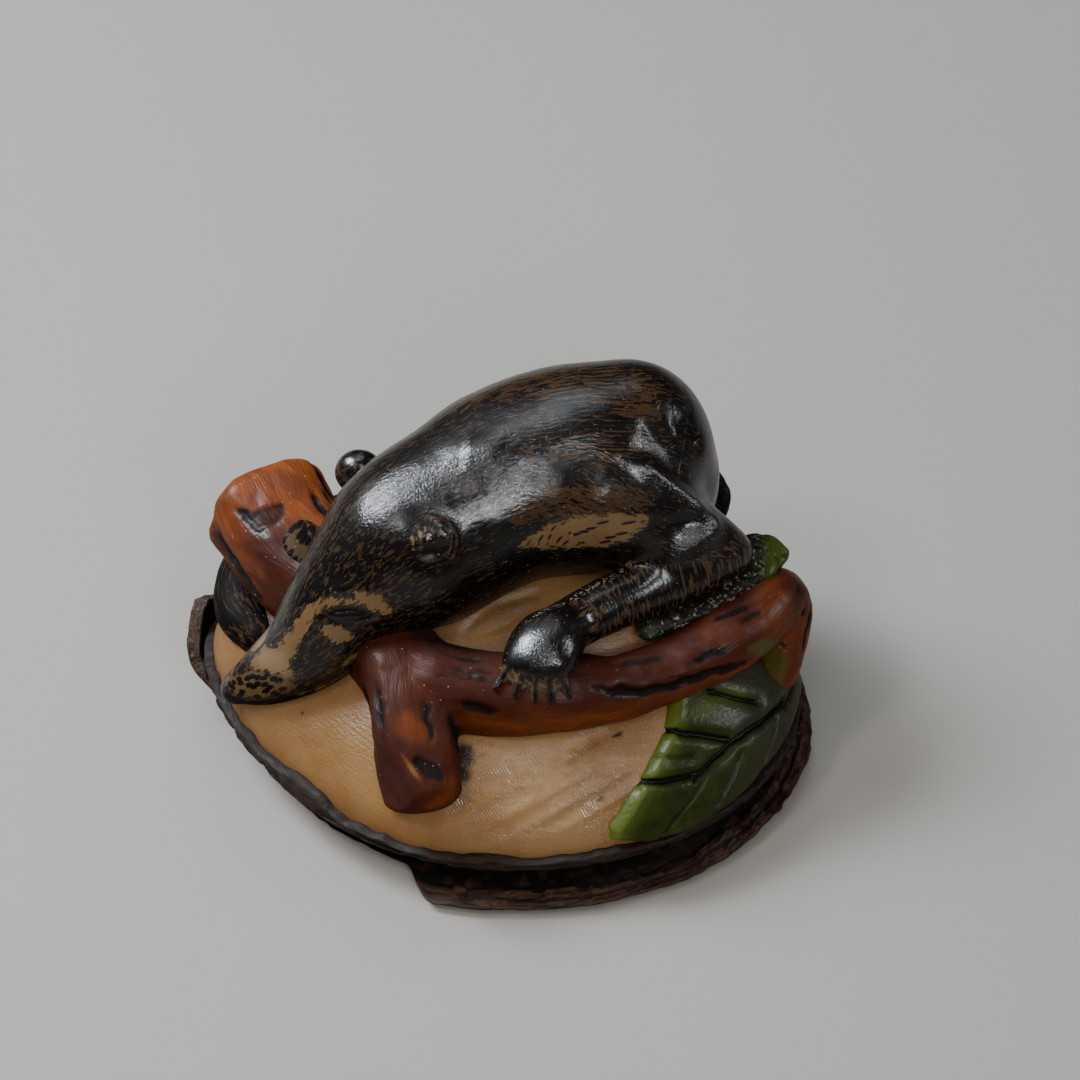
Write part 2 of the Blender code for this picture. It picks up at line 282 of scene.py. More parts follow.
def tube(stations, up=(0, 0, 1), steps=8, sides=64, power=2.0, blunt=1.0, relief=None):
    """Rings round a form: at each step a superellipse of the side and height radius, and at the
    ends the same section shrunk by the cosine and carried on by the sine of a quarter turn."""
    rows = spline(stations, steps)
    forward = unit(np.gradient(rows[:, :3], axis=0))
    none, ends = np.zeros(len(rows)), len(CAP)
    index = np.r_[np.zeros(ends, int), np.arange(len(rows)), np.full(ends, len(rows) - 1)]
    lean = np.r_[CAP, none, CAP[::-1]]
    end = np.r_[-np.ones(ends), none, np.ones(ends)]
    wide, high = (rows[index, k] * np.cos(lean) for k in (3, 4))
    ahead = end * blunt * rows[index, 3:5].min(1) * np.sin(lean)
    centre = rows[index, :3] + forward[index] * ahead[:, None]
    side = unit(np.cross(forward[index], up))
    top = np.cross(side, forward[index])
    turn = -2 * np.pi * np.arange(sides) / sides
    c, s = (np.sign(f(turn)) * np.abs(f(turn)) ** (2 / power) for f in (np.cos, np.sin))
    size = relief(index / steps, turn) if relief else np.ones((len(index), sides))
    across = (wide[:, None] * c * size)[..., None] * side[:, None]
    return centre[:, None] + across + (high[:, None] * s * size)[..., None] * top[:, None]


def ball(centre, radii, turn=(0, 0, 0), sides=48):
    """Rings of an ellipsoid: cosine and sine of latitude and longitude times its radii, turned."""
    rise = np.radians(np.linspace(-87, 87, sides // 2))[:, None]
    turns = (2 * np.pi * np.arange(sides) / sides)[None]
    flat = [np.cos(rise) * np.cos(turns), np.cos(rise) * np.sin(turns), np.sin(rise) + 0 * turns]
    spin = np.array(Euler([math.radians(a) for a in turn]).to_matrix())
    return np.array(centre) + (np.stack(flat, -1) * radii) @ spin.T


def closed(rings):
    """Points and faces of a skin: each ring joined to the next, each end drawn to its middle."""
    rows, count = rings.shape[:2]
    points = np.concatenate([rings.reshape(-1, 3), rings[[0, -1]].mean(1)])
    i, j = np.mgrid[: rows - 1, :count]
    k = (j + 1) % count
    quads = np.stack([i * count + j, i * count + k, (i + 1) * count + k, (i + 1) * count + j], -1)
    j = np.arange(count)
    k = (j + 1) % count
    last = (rows - 1) * count
    low = np.stack([k, j, np.full(count, rows * count)], -1)
    high = np.stack([last + j, last + k, np.full(count, rows * count + 1)], -1)
    return points, quads.reshape(-1, 4), np.concatenate([low, high])


def slab(over, under):
    """Points and faces of a plate between two grids of the same size, walled round its edge."""
    rows, cols = over.shape[:2]
    index = np.arange(rows * cols).reshape(rows, cols)
    face = np.stack([index[:-1, :-1], index[1:, :-1], index[1:, 1:], index[:-1, 1:]], -1)
    face = face.reshape(-1, 4)
    size = rows * cols
    edge = np.concatenate([index[:-1, 0], index[-1, :-1], index[:0:-1, -1], index[0, :0:-1]])
    after = np.roll(edge, -1)
    wall = np.stack([edge + size, after + size, after, edge], -1)
    points = np.concatenate([over.reshape(-1, 3), under.reshape(-1, 3)])
    return points, np.concatenate([face, face[:, ::-1] + size, wall]), np.zeros((0, 3), int)


def put(name, parts):
    """Object made of one or several skins, its points turned to metres."""
    shift, points, quads, triangles = 0, [], [], []
    for some, fours, threes in parts:
        points.append(some)
        quads.append(fours + shift)
        triangles.append(threes + shift)
        shift += len(some)
    points, quads, triangles = (np.concatenate(rows) for rows in (points, quads, triangles))
    corners = np.concatenate([quads.ravel(), triangles.ravel()]).astype(np.int32)
    starts = [4 * np.arange(len(quads)), 4 * len(quads) + 3 * np.arange(len(triangles))]
    starts = np.concatenate(starts).astype(np.int32)
    mesh = bpy.data.meshes.new(name)
    mesh.vertices.add(len(points))
    mesh.vertices.foreach_set("co", (points * MM).ravel().astype(np.float32))
    mesh.loops.add(len(corners))
    mesh.loops.foreach_set("vertex_index", corners)
    mesh.polygons.add(len(starts))
    mesh.polygons.foreach_set("loop_start", starts)
    mesh.update(calc_edges=True)
    mesh.validate()
    mesh.shade_smooth()
    return stand(name, mesh)


def stand(name, data):
    """Object for a mesh, a light or a camera, linked to the scene."""
    thing = bpy.data.objects.new(name, data)
    bpy.context.scene.collection.objects.link(thing)
    return thing


def fused(name, grids, voxel, ease):
    """One skin over overlapping forms, found on a grid of cells of a size, then eased so many times."""
    rough = put(name + "_rough", [closed(grid) for grid in grids])
    join = rough.modifiers.new("join", "REMESH")
    join.mode, join.voxel_size, join.use_smooth_shade = "VOXEL", voxel * MM, True
    soft = rough.modifiers.new("ease", "SMOOTH")
    soft.factor, soft.iterations = 0.5, ease
    graph = bpy.context.evaluated_depsgraph_get()
    mesh = bpy.data.meshes.new_from_object(rough.evaluated_get(graph))
    bpy.data.objects.remove(rough)
    mesh.name = name
    return stand(name, mesh)


def fetched(rows, field, width=1, kind=np.float32):
    """One field of every vertex, edge, corner or face, as whole numbers or as rows of a width."""
    flat = np.empty(len(rows) * width, kind)
    rows.foreach_get(field, flat)
    return flat.reshape(-1, width).astype(float) if kind is np.float32 else flat


def points_of(piece):
    return fetched(piece.data.vertices, "co", 3) / MM


def corners_of(piece):
    """Vertex of each face corner."""
    return fetched(piece.data.loops, "vertex_index", kind=np.int32)


def set_points(piece, points):
    piece.data.vertices.foreach_set("co", (points * MM).ravel().astype(np.float32))
    piece.data.update()


def push(piece, amount):
    """Moves each point along its normal by its amount."""
    normals = fetched(piece.data.vertex_normals, "vector", 3)
    set_points(piece, points_of(piece) + normals * amount[:, None])


def relax(piece, weight, rounds):
    """Draws each point half way to the mean of its neighbours, by its weight, so many times over."""
    points = points_of(piece)
    a, b = fetched(piece.data.edges, "vertices", 2, np.int32).reshape(-1, 2).T
    size = len(points)
    count = np.bincount(a, minlength=size) + np.bincount(b, minlength=size)
    for _ in range(rounds):
        sums = [
            np.bincount(a, points[b, k], size) + np.bincount(b, points[a, k], size)
            for k in range(3)
        ]
        points += 0.5 * weight[:, None] * (np.stack(sums, -1) / count[:, None] - points)
    set_points(piece, points)


def mark(piece, name, values, domain="POINT"):
    """Stores a number or a vector for each point or face corner, for the finish to read."""
    kind, field = ("FLOAT_VECTOR", "vector") if values.ndim == 2 else ("FLOAT", "value")
    layer = piece.data.attributes.new(name, kind, domain)
    layer.data.foreach_set(field, np.ascontiguousarray(values, np.float32).ravel())


def mark_flow(piece, runs, apart=40):
    """Lays each face along its nearest course: distance along it and the two offsets across it.

    Each course starts a stretch apart, so that no two share a pattern. A twisted one has the way
    round the form first, so that strokes ring it.
    """
    mesh, points, corner = piece.data, points_of(piece), corners_of(piece)
    centre = fetched(mesh.polygons, "center", 3) / MM
    owner = np.argmin([chart(centre, run)[3] + run.get("shy", 0) for run in runs], axis=0)
    owner = np.repeat(owner, fetched(mesh.polygons, "loop_total", kind=np.int32))
    flow = np.zeros((len(corner), 3))
    for k, run in enumerate(runs):
        along, side, top, _, _ = chart(points, run)
        laid = [along + apart * k, side, top]
        if "twist" in run:
            turn = (np.arctan2(side, top) + run["twist"] + np.pi) % (2 * np.pi) - np.pi
            laid = [turn * np.hypot(side, top) + 0.5 * along, along + apart * k, 0 * top]
        mine = owner == k
        flow[mine] = np.stack(laid, -1)[corner[mine]]
    mark(piece, "flow", flow, "CORNER")


# ---------------------------------------------------------------- finishes

SPECK = 0.11  # radius of a speck of dust, in cells
DUST = (0.40, 0.33, 0.25)


class Finish:
    """A Principled material and short calls that add nodes to it."""

    def __init__(self, name, roughness=0.4, **sockets):
        self.material = bpy.data.materials.new(name)
        self.material.use_nodes = True
        self.tree = self.material.node_tree
        self.shader = self.tree.nodes["Principled BSDF"]
        self.shader.inputs["Roughness"].default_value = roughness
        for socket, value in sockets.items():
            self.shader.inputs[socket.replace("_", " ")].default_value = value

    def add(self, kind, sockets=(), **settings):
        node = self.tree.nodes.new("ShaderNode" + kind)
        for key, value in settings.items():
            setattr(node, key, value)
        for key, value in dict(sockets).items():
            if isinstance(value, bpy.types.NodeSocket):
                self.tree.links.new(value, node.inputs[key])
            else:
                node.inputs[key].default_value = value
        return node

    def drive(self, name, socket):
        self.tree.links.new(socket, self.shader.inputs[name])

    def read(self, name, socket="Fac"):
        return self.add("Attribute", attribute_name=name).outputs[socket]

    def place(self):
        return self.add("TexCoord").outputs["Object"]

    def laid(self, vector, scale, move=(0, 0, 0)):
        sockets = {"Vector": vector, "Scale": scale, "Location": move}
        return self.add("Mapping", sockets).outputs[0]

    def noise(self, vector, scale=1.0, detail=2.0, rough=0.5, bend=0.0):
        sockets = {"Vector": vector, "Scale": scale, "Detail": detail, "Roughness": rough}
        return self.add("TexNoise", sockets | {"Distortion": bend}).outputs["Fac"]

    def cells(self, vector, scale):
        return self.add("TexVoronoi", {"Vector": vector, "Scale": scale})

    def vector(self, how, a, b=(0, 0, 0), result="Vector"):
        return self.add("VectorMath", {0: a, 1: b}, operation=how).outputs[result]

    def along(self, vector, way):
        """How far a place lies along a direction."""
        return self.vector("DOT_PRODUCT", vector, way, "Value")

    def ovals(self, vector, cell, half, turn, stray):
        """Distance from the nearest of scattered middles, one to a cell, measured in half lengths of
        an oval turned by an angle: 1 on its outline."""
        flat = self.laid(vector, (1 / cell[0], 1 / cell[1], 0.0))
        sockets = {"Vector": flat, "Scale": 1.0, "Randomness": stray}
        middle = self.add("TexVoronoi", sockets, voronoi_dimensions="2D").outputs["Position"]
        off = self.laid(self.vector("SUBTRACT", flat, middle), (*cell, 0.0))
        sockets = {"Vector": off, "Angle": turn}
        turned = self.add("VectorRotate", sockets, rotation_type="Z_AXIS").outputs[0]
        shape = self.laid(turned, (1 / half[0], 1 / half[1], 0.0))
        return self.vector("LENGTH", shape, result="Value")

    def work(self, how, a, b=0.0):
        return self.add("Math", {0: a, 1: b}, operation=how).outputs[0]

    def sum(self, a, b):
        return self.work("ADD", a, b)

    def times(self, a, b):
        return self.work("MULTIPLY", a, b)

    def swing(self, noise, amount):
        """A noise made to swing about nothing, by an amount."""
        return self.times(self.sum(noise, -0.5), amount)

    def step(self, value, low, high, bottom=0.0, top=1.0):
        sockets = {"Value": value, "From Min": low, "From Max": high}
        sockets |= {"To Min": bottom, "To Max": top}
        return self.add("MapRange", sockets, interpolation_type="SMOOTHSTEP").outputs[0]

    def mix(self, part, a, b):
        a, b = ((*c, 1) if isinstance(c, tuple) and len(c) == 3 else c for c in (a, b))
        return self.add("Mix", {0: part, 6: a, 7: b}, data_type="RGBA").outputs[2]

    def bump(self, height, depth, strength):
        """Fine relief as deep as depth millimetres, in the surface and in the varnish over it."""
        sockets = {"Height": height, "Distance": depth * MM, "Strength": strength}
        normal = self.add("Bump", sockets).outputs[0]
        self.drive("Normal", normal)
        self.drive("Coat Normal", normal)

    def paint(self, colour, vector):
        """Gives the surface its colour, with dust on it: pale specks in the middles of some cells of
        two thirds of a millimetre, and crumbs where they gathered."""
        amount = self.read("dust")
        speck = self.cells(vector, 1.5 / MM)
        near = self.step(speck.outputs["Distance"], SPECK, 0.6 * SPECK)
        chance = self.add("SeparateColor", {0: speck.outputs["Color"]}).outputs[0]
        specks = self.times(self.times(near, self.step(chance, 0.5, 0.4)), amount)
        crumb = self.step(self.noise(vector, 3.2 / MM, 2.0, 0.6), 0.54, 0.60)
        part = self.work("MAXIMUM", specks, self.times(crumb, self.read("crumbs")))
        self.drive("Base Color", self.mix(part, colour, DUST))


def coat_finish():
    """Varnished fur: near-black strokes along the flow over brown, cream where the paint is left
    off, rings in the ear; the varnish is thinner where matte and rough where it holds grit."""
    f = Finish("painted_coat", Coat_Roughness=0.19, Coat_IOR=1.5, Specular_IOR_Level=0.03)
    f.drive("Coat Weight", f.sum(f.times(f.read("matte"), -0.6), 0.6))
    flow = f.read("flow", "Vector")
    hair = f.noise(f.laid(flow, (0.7, 4.2, 4.2)), 1.0, 2.0, 0.6, 0.35)
    coarse = f.noise(f.laid(flow, (0.6, 3.5, 3.5)), 1.0, 2.0, 0.6, 0.35)
    hair = f.add("Mix", {0: f.read("coarse"), 2: hair, 3: coarse}).outputs[0]
    fine = f.noise(f.laid(flow, (1.8, 9.0, 9.0)), 1.0, 2.0, 0.6)
    patch = f.noise(f.place(), 0.18 / MM, 2.0, 0.5)
    # Ink: strokes where the hair stands over a level that falls as the shade deepens, and dots.
    shade = f.sum(f.read("shade"), f.swing(patch, 0.3))
    level = f.sum(f.times(shade, -0.42), 0.76)
    ink = f.step(f.work("SUBTRACT", hair, level), -0.025, 0.025)
    across = f.along(flow, (0.0, -0.6, 0.8))
    along = f.add("SeparateXYZ", {0: flow}).outputs[0]
    spread = f.add("CombineXYZ", {0: along, 1: across}).outputs[0]
    spots = f.ovals(spread, (1.0, 0.62), (0.46, 0.25), 0.0, 0.9)
    spots = f.step(f.sum(spots, f.swing(fine, 0.9)), 1.1, 0.9)
    ink = f.mix(f.read("specks"), ink, spots)
    # The brown under the ink.
    ground = f.mix(f.read("warmth"), (0.055, 0.032, 0.013), (0.068, 0.034, 0.011))
    ground = f.mix(f.read("pale"), ground, (0.17, 0.10, 0.040))
    ground = f.mix(f.step(fine, 0.35, 0.7), f.mix(0.45, ground, (0.015, 0.008, 0.004)), ground)
    fur = f.mix(ink, ground, (0.0032, 0.0020, 0.0016))
    # Pale arcs round the ear.
    ring = f.read("ring")
    arcs = f.step(f.work("SINE", f.times(f.sum(ring, f.swing(coarse, 0.35)), 22.0)), -0.1, 0.5)
    arcs = f.times(f.times(arcs, f.step(hair, 0.44, 0.52)), f.step(ring, 1.6, 1.3))
    fur = f.mix(f.times(arcs, 0.7), fur, (0.10, 0.062, 0.032))
    # Cream, its edge broken by hairs, with short dark dashes on the flank.
    bare = f.step(f.sum(f.read("cream"), f.swing(hair, 2.2)), -0.05, 0.08)
    cloud = f.noise(f.place(), 0.5 / MM, 3.0, 0.6)
    cream = f.mix(cloud, (0.13, 0.072, 0.024), (0.22, 0.135, 0.058))
    cream = f.mix(f.read("light"), cream, (0.23, 0.155, 0.078))
    dash = f.ovals(spread, (2.0, 0.85), (0.62, 0.14), -0.6, 0.75)
    dash = f.step(f.sum(dash, f.swing(fine, 0.8)), 1.1, 0.9)
    cream = f.mix(f.times(dash, f.read("dashes")), cream, (0.006, 0.004, 0.003))
    colour = f.mix(bare, fur, cream)
    f.paint(f.mix(f.read("black"), colour, (0.003, 0.0022, 0.0018)), f.place())
    grit = f.noise(f.place(), 4.5 / MM, 2.0, 0.6)
    grit = f.times(grit, f.step(f.read("grit"), 0.0, 1.0, 0.14, 0.75))
    f.bump(f.sum(f.sum(f.times(hair, 0.32), f.times(fine, 0.16)), grit), 0.13, 0.8)
    f.drive("Roughness", f.sum(f.step(fine, 0.2, 0.8, 0.36, 0.52), f.times(f.read("matte"), 0.2)))
    return f.material


def wood_finish():
    """Orange stain under varnish: maroon on top, orange where it is thin and, as painted highlight,
    along the log's top rim, near black in the cuts, a pale painted highlight on the stub's ridge,
    and darker with dirt and with painted shade.
    """
    f = Finish("stained_branch", Coat_Roughness=0.26, Coat_IOR=1.4, Specular_IOR_Level=0.05)
    f.drive("Coat Weight", f.sum(f.times(f.read("dull"), -0.14), 0.16))
    flow = f.read("flow", "Vector")
    streak = f.noise(f.laid(flow, (0.22, 1.1, 1.1)), 1.0, 3.0, 0.55, 0.4)
    fine = f.noise(f.laid(flow, (0.8, 5.0, 5.0)), 1.0, 3.0, 0.6)
    wide = f.noise(f.place(), 0.16 / MM, 3.0, 0.55)
    # Orange: thin stain, and painted highlight along the log's top rim.
    glow = f.sum(f.times(f.read("orange"), 0.95), f.swing(wide, 0.7))
    colour = f.mix(f.step(glow, -0.1, 0.9), (0.052, 0.009, 0.003), (0.30, 0.070, 0.007))
    colour = f.mix(f.times(f.step(streak, 0.58, 0.42), 0.35), colour, (0.035, 0.007, 0.003))
    colour = f.mix(f.times(f.step(fine, 0.5, 0.75), 0.12), colour, (0.24, 0.075, 0.02))
    dark = f.sum(f.read("cut"), f.swing(fine, 0.4))
    colour = f.mix(f.step(dark, 0.1, 0.5), colour, (0.010, 0.003, 0.002))
    # Pale streak: a painted highlight along the stub's ridge.
    colour = f.mix(f.read("streak"), colour, (0.36, 0.155, 0.05))
    colour = f.mix(f.times(f.read("olive"), 0.9), colour, (0.085, 0.070, 0.014))
    # Darker with dirt, and with painted shade under the neck, at the log's foot and under the limb.
    f.paint(f.mix(f.read("dirt_and_shade"), colour, (0.010, 0.005, 0.004)), f.place())
    f.bump(f.sum(f.times(streak, 0.45), f.times(fine, 0.55)), 0.14, 0.8)
    f.drive("Roughness", f.sum(f.step(fine, 0.2, 0.8, 0.42, 0.62), f.times(f.read("dull"), 0.3)))
    return f.material


def ivory_finish():
    """Scraped vegetable ivory: warm cream, fine growth lines round the nut, blade chatter across
    the scraped strokes, a few dark specks, varnish on the front."""
    f = Finish("tagua_ivory", Coat_Roughness=0.16, Specular_IOR_Level=0.08)
    f.drive("Coat Weight", f.times(f.read("wet"), 0.75))
    place = f.place()
    cloud = f.noise(place, 0.12 / MM, 3.0, 0.55)
    fine = f.noise(place, 1.3 / MM, 3.0, 0.6)
    pores = f.noise(place, 4.5 / MM, 2.0, 0.6)
    sockets = {"Vector": f.laid(place, (1.0, 1.25, 2.2), (0.004, 0.0, 0.0)), "Scale": 0.75 / MM}
    sockets |= {"Distortion": 1.2, "Detail": 2.0, "Detail Scale": 0.4}
    rings = f.add("TexWave", sockets, wave_type="RINGS", rings_direction="SPHERICAL").outputs["Fac"]
    ribs = f.sum(f.times(f.along(place, SCRAPE_WAY), 24.0 / MM), f.times(fine, 5.0))
    ribs = f.work("SINE", ribs)
    colour = f.mix(f.step(cloud, 0.3, 0.7), (0.27, 0.135, 0.048), (0.39, 0.225, 0.092))
    colour = f.mix(f.times(rings, 0.14), colour, (0.20, 0.10, 0.04))
    colour = f.mix(f.times(f.step(fine, 0.55, 0.8), 0.25), colour, (0.50, 0.34, 0.19))
    colour = f.mix(f.times(f.step(pores, 0.6, 0.75), 0.35), colour, (0.17, 0.085, 0.035))
    sugar = f.times(f.step(f.noise(place, 6.0 / MM, 2.0, 0.6), 0.56, 0.68), f.read("wet"))
    colour = f.mix(f.times(sugar, 0.5), colour, (0.60, 0.44, 0.27))
    # The stain mark: darker towards the bottom and the left, and painted shade on the seat under the
    # belly.
    colour = f.mix(f.read("stain"), colour, (0.19, 0.085, 0.026))
    speck = f.cells(place, 0.28 / MM).outputs["Distance"]
    speck = f.times(f.step(speck, 0.075, 0.05), f.step(fine, 0.48, 0.56))
    # Darker with dirt and dark specks, and with painted shade in the gap behind the tail.
    colour = f.mix(f.work("MAXIMUM", f.read("dirt_and_shade"), speck), colour, (0.03, 0.016, 0.009))
    f.paint(colour, place)
    chatter = f.times(f.sum(ribs, 1.0), f.times(f.read("scrape"), 0.4))
    relief = f.sum(f.times(rings, 0.1), f.times(fine, 0.6))
    f.bump(f.sum(relief, f.sum(f.times(pores, 0.9), chatter)), 0.10, 0.9)
    f.drive("Roughness", f.step(fine, 0.3, 0.7, 0.26, 0.42))
    return f.material


def leaf_finish():
    """Green stain under a little varnish, black in the veins, yellower along the raised edge, grey
    where it has worn; on the front leaf's upper left edges and top facet the yellow is a painted
    highlight."""
    coat = {"Coat_Weight": 0.06, "Coat_Roughness": 0.2, "Coat_IOR": 1.4}
    f = Finish("stained_leaf", Specular_IOR_Level=0.05, **coat)
    place = f.place()
    cloud = f.noise(place, 0.35 / MM, 3.0, 0.6)
    fine = f.noise(place, 2.2 / MM, 3.0, 0.6)
    colour = f.mix(f.step(cloud, 0.3, 0.7), (0.016, 0.023, 0.003), (0.040, 0.053, 0.006))
    # Yellower edge; on the front leaf a painted highlight.
    colour = f.mix(f.read("edge"), colour, (0.11, 0.145, 0.018))
    worn = f.times(f.read("grey"), f.step(cloud, 0.2, 0.6, 0.7, 1.0))
    colour = f.mix(worn, colour, (0.046, 0.044, 0.026))
    f.paint(f.mix(f.read("vein"), colour, (0.006, 0.007, 0.003)), place)
    f.bump(f.sum(f.times(cloud, 0.4), f.times(fine, 0.9)), 0.09, 0.7)
    f.drive("Roughness", f.step(fine, 0.2, 0.8, 0.3, 0.5))
    return f.material


def husk_finish():
    """Dry woody shell: dark brown fibres running round it, blacker on its outer face, and near
    black in the gap round the nut as painted shade.
    """
    f = Finish("woody_shell", Specular_IOR_Level=0.1)
    fibre = f.noise(f.laid(f.read("flow", "Vector"), (0.35, 4.0, 4.0)), 1.0, 3.0, 0.6, 0.4)
    place = f.place()
    rough = f.noise(place, 0.8 / MM, 4.0, 0.6)
    colour = f.mix(f.step(fibre, 0.35, 0.68), (0.009, 0.0045, 0.003), (0.095, 0.045, 0.025))
    colour = f.mix(f.times(f.step(rough, 0.5, 0.7), 0.5), colour, (0.15, 0.078, 0.042))
    # The outer mark: the outer face's own black, and painted shade in the gap round the nut.
    f.paint(f.mix(f.read("outer"), colour, (0.008, 0.0065, 0.006)), place)
    f.bump(f.sum(f.times(fibre, 0.6), f.times(rough, 0.4)), 0.3, 0.7)
    f.drive("Roughness", f.step(rough, 0.3, 0.7, 0.6, 0.85))
    return f.material


def floor_finish():
    f = Finish("pale_floor", 0.85)
    cloud = f.noise(f.place(), 9.0, 3.0, 0.5)
    f.drive("Base Color", f.mix(cloud, (0.37, 0.352, 0.325), (0.40, 0.382, 0.352)))
    return f.material


# ---------------------------------------------------------------- nut and shell


def nut_plan(angle, grow=0.0):
    """Outline of the nut from above: an ellipse of unequal halves, narrower to the left."""
    c, s = np.cos(angle), np.sin(angle)
    along = np.where(c > 0, NUT_RIGHT, NUT_LEFT) * c
    across = np.where(s < 0, NUT_FRONT, NUT_BACK) * s * (1 - NUT_TAPER * np.minimum(c, 0) ** 2)
    size = np.hypot(along, across)
    along, across = along * (size + grow) / size, across * (size + grow) / size
    ct, st = math.cos(NUT_TURN), math.sin(NUT_TURN)
    x = NUT_CENTRE[0] + along * ct - across * st
    y = NUT_CENTRE[1] + along * st + across * ct
    return np.stack([x, y], -1)


def rim_height(angle):
    return RIM_HEIGHT + RIM_RISE * np.minimum(np.cos(angle), 0) ** 4


def nut_point(angle, rise, grow=0.0, skin=0.0):
    """Point at an angle round the nut and a rise above its rim, or below it on the keel: the plan
    drawn in by the cosine of the rise, the height up by its sine."""
    angle, rise, grow = np.broadcast_arrays(angle, rise, np.asarray(grow, float))
    reach = np.abs(np.cos(rise)) ** np.where(rise > 0, 1, KEEL_POWER)
    reach = reach * (1 + NUT_LEAN * np.maximum(np.sin(rise), 0) * np.maximum(np.cos(angle), 0) ** 2)
    plan = nut_plan(angle, grow + skin)
    plan = NUT_CENTRE + (plan - NUT_CENTRE) * reach[..., None]
    rim = rim_height(angle)
    tall = np.where(rise > 0, DOME, KEEL + rim - RIM_HEIGHT)
    return np.concatenate([plan, (rim + (tall + grow) * np.sin(rise))[..., None]], -1)


def around(count):
    """Even turns round the nut, and their places on a ring of a radius of 1."""
    angle = 2 * np.pi * np.arange(count) / count
    return angle, np.stack([np.cos(angle), np.sin(angle), 0 * angle], -1)


def turn_of(points):
    """Turn of each point about the nut's centre."""
    return np.arctan2(points[:, 1] - NUT_CENTRE[1], points[:, 0] - NUT_CENTRE[0])


# Scraped strokes on the front of the dome: where each begins, its length along SCRAPE_WAY, its depth.
SCRAPE_WAY = (0.86, 0.34, 0.37)
SCRAPES = (
    ((-6.4, -19.4, 9.8), 9, 0.10),
    ((-4.4, -20.6, 8.6), 11, 0.15),
    ((-2.6, -21.3, 7.1), 13, 0.12),
    ((0.2, -21.4, 7.0), 11, 0.17),
    ((2.0, -21.6, 5.8), 10, 0.12),
    ((1.0, -17.8, 12.0), 7, 0.18),
    ((4.4, -21.4, 5.6), 7, 0.14),
    ((-1.6, -18.4, 11.6), 5, 0.12),
)
SCRAPE_HALF, SCRAPE_BACK = 0.95, -10  # half a stroke's width, and how far back the strokes reach
DOME_FRONT = (-0.1, -0.75, 0.65)  # the way the scraped front faces
# Painted strokes, lines of x, y, z and the stroke's radius there: the carver's hollow under the
# animal, two dark spots, dirt in the crook of the branch, and painted shade in the gap behind the
# tail.
HOLLOW = ((-4.3, -5.4, 18.6, 0.9), (-2.0, -4.4, 19.6, 1.5), (1.4, -3.0, 20.4, 0.8))
SPOTS = (
    ((8.6, -14.4, 13.7, 0.22), (9.2, -14.2, 13.8, 0.2)),
    ((7.2, -19.0, 10.0, 0.2), (7.5, -18.8, 10.2, 0.24)),
)
GROUND_CROOK = ((-6.4, -16.4, 14.4, 0.8), (-4.8, -16.4, 13.2, 1.1), (-5.0, -18.2, 11.6, 0.5))
TAIL_GAP_SHADE = ((-23.2, 1.0, 14.8, 1.8), (-20.6, 1.0, 17.4, 1.4))
# Where crumbs gather round the seat.
SEAT_EDGES = (
    (
        (-4.8, -5.0, 19.0, 0.25), (-4.1, -3.2, 20.0, 0.25), (-2.7, -2.2, 20.6, 0.25),
        (-0.7, -1.6, 20.9, 0.25),
    ),
    ((-3.6, -7.6, 18.0, 0.4), (-1.8, -8.6, 17.6, 0.5), (0.0, -8.6, 17.8, 0.4)),
    ((0.0, -8.2, 18.2, 0.4), (2.0, -6.2, 19.8, 0.4), (6.0, -3.6, 21.2, 0.4)),
    ((4.0, -8.6, 19.4, 0.5), (8.0, -7.2, 20.0, 0.4), (13.0, -5.0, 20.0, 0.3)),
)


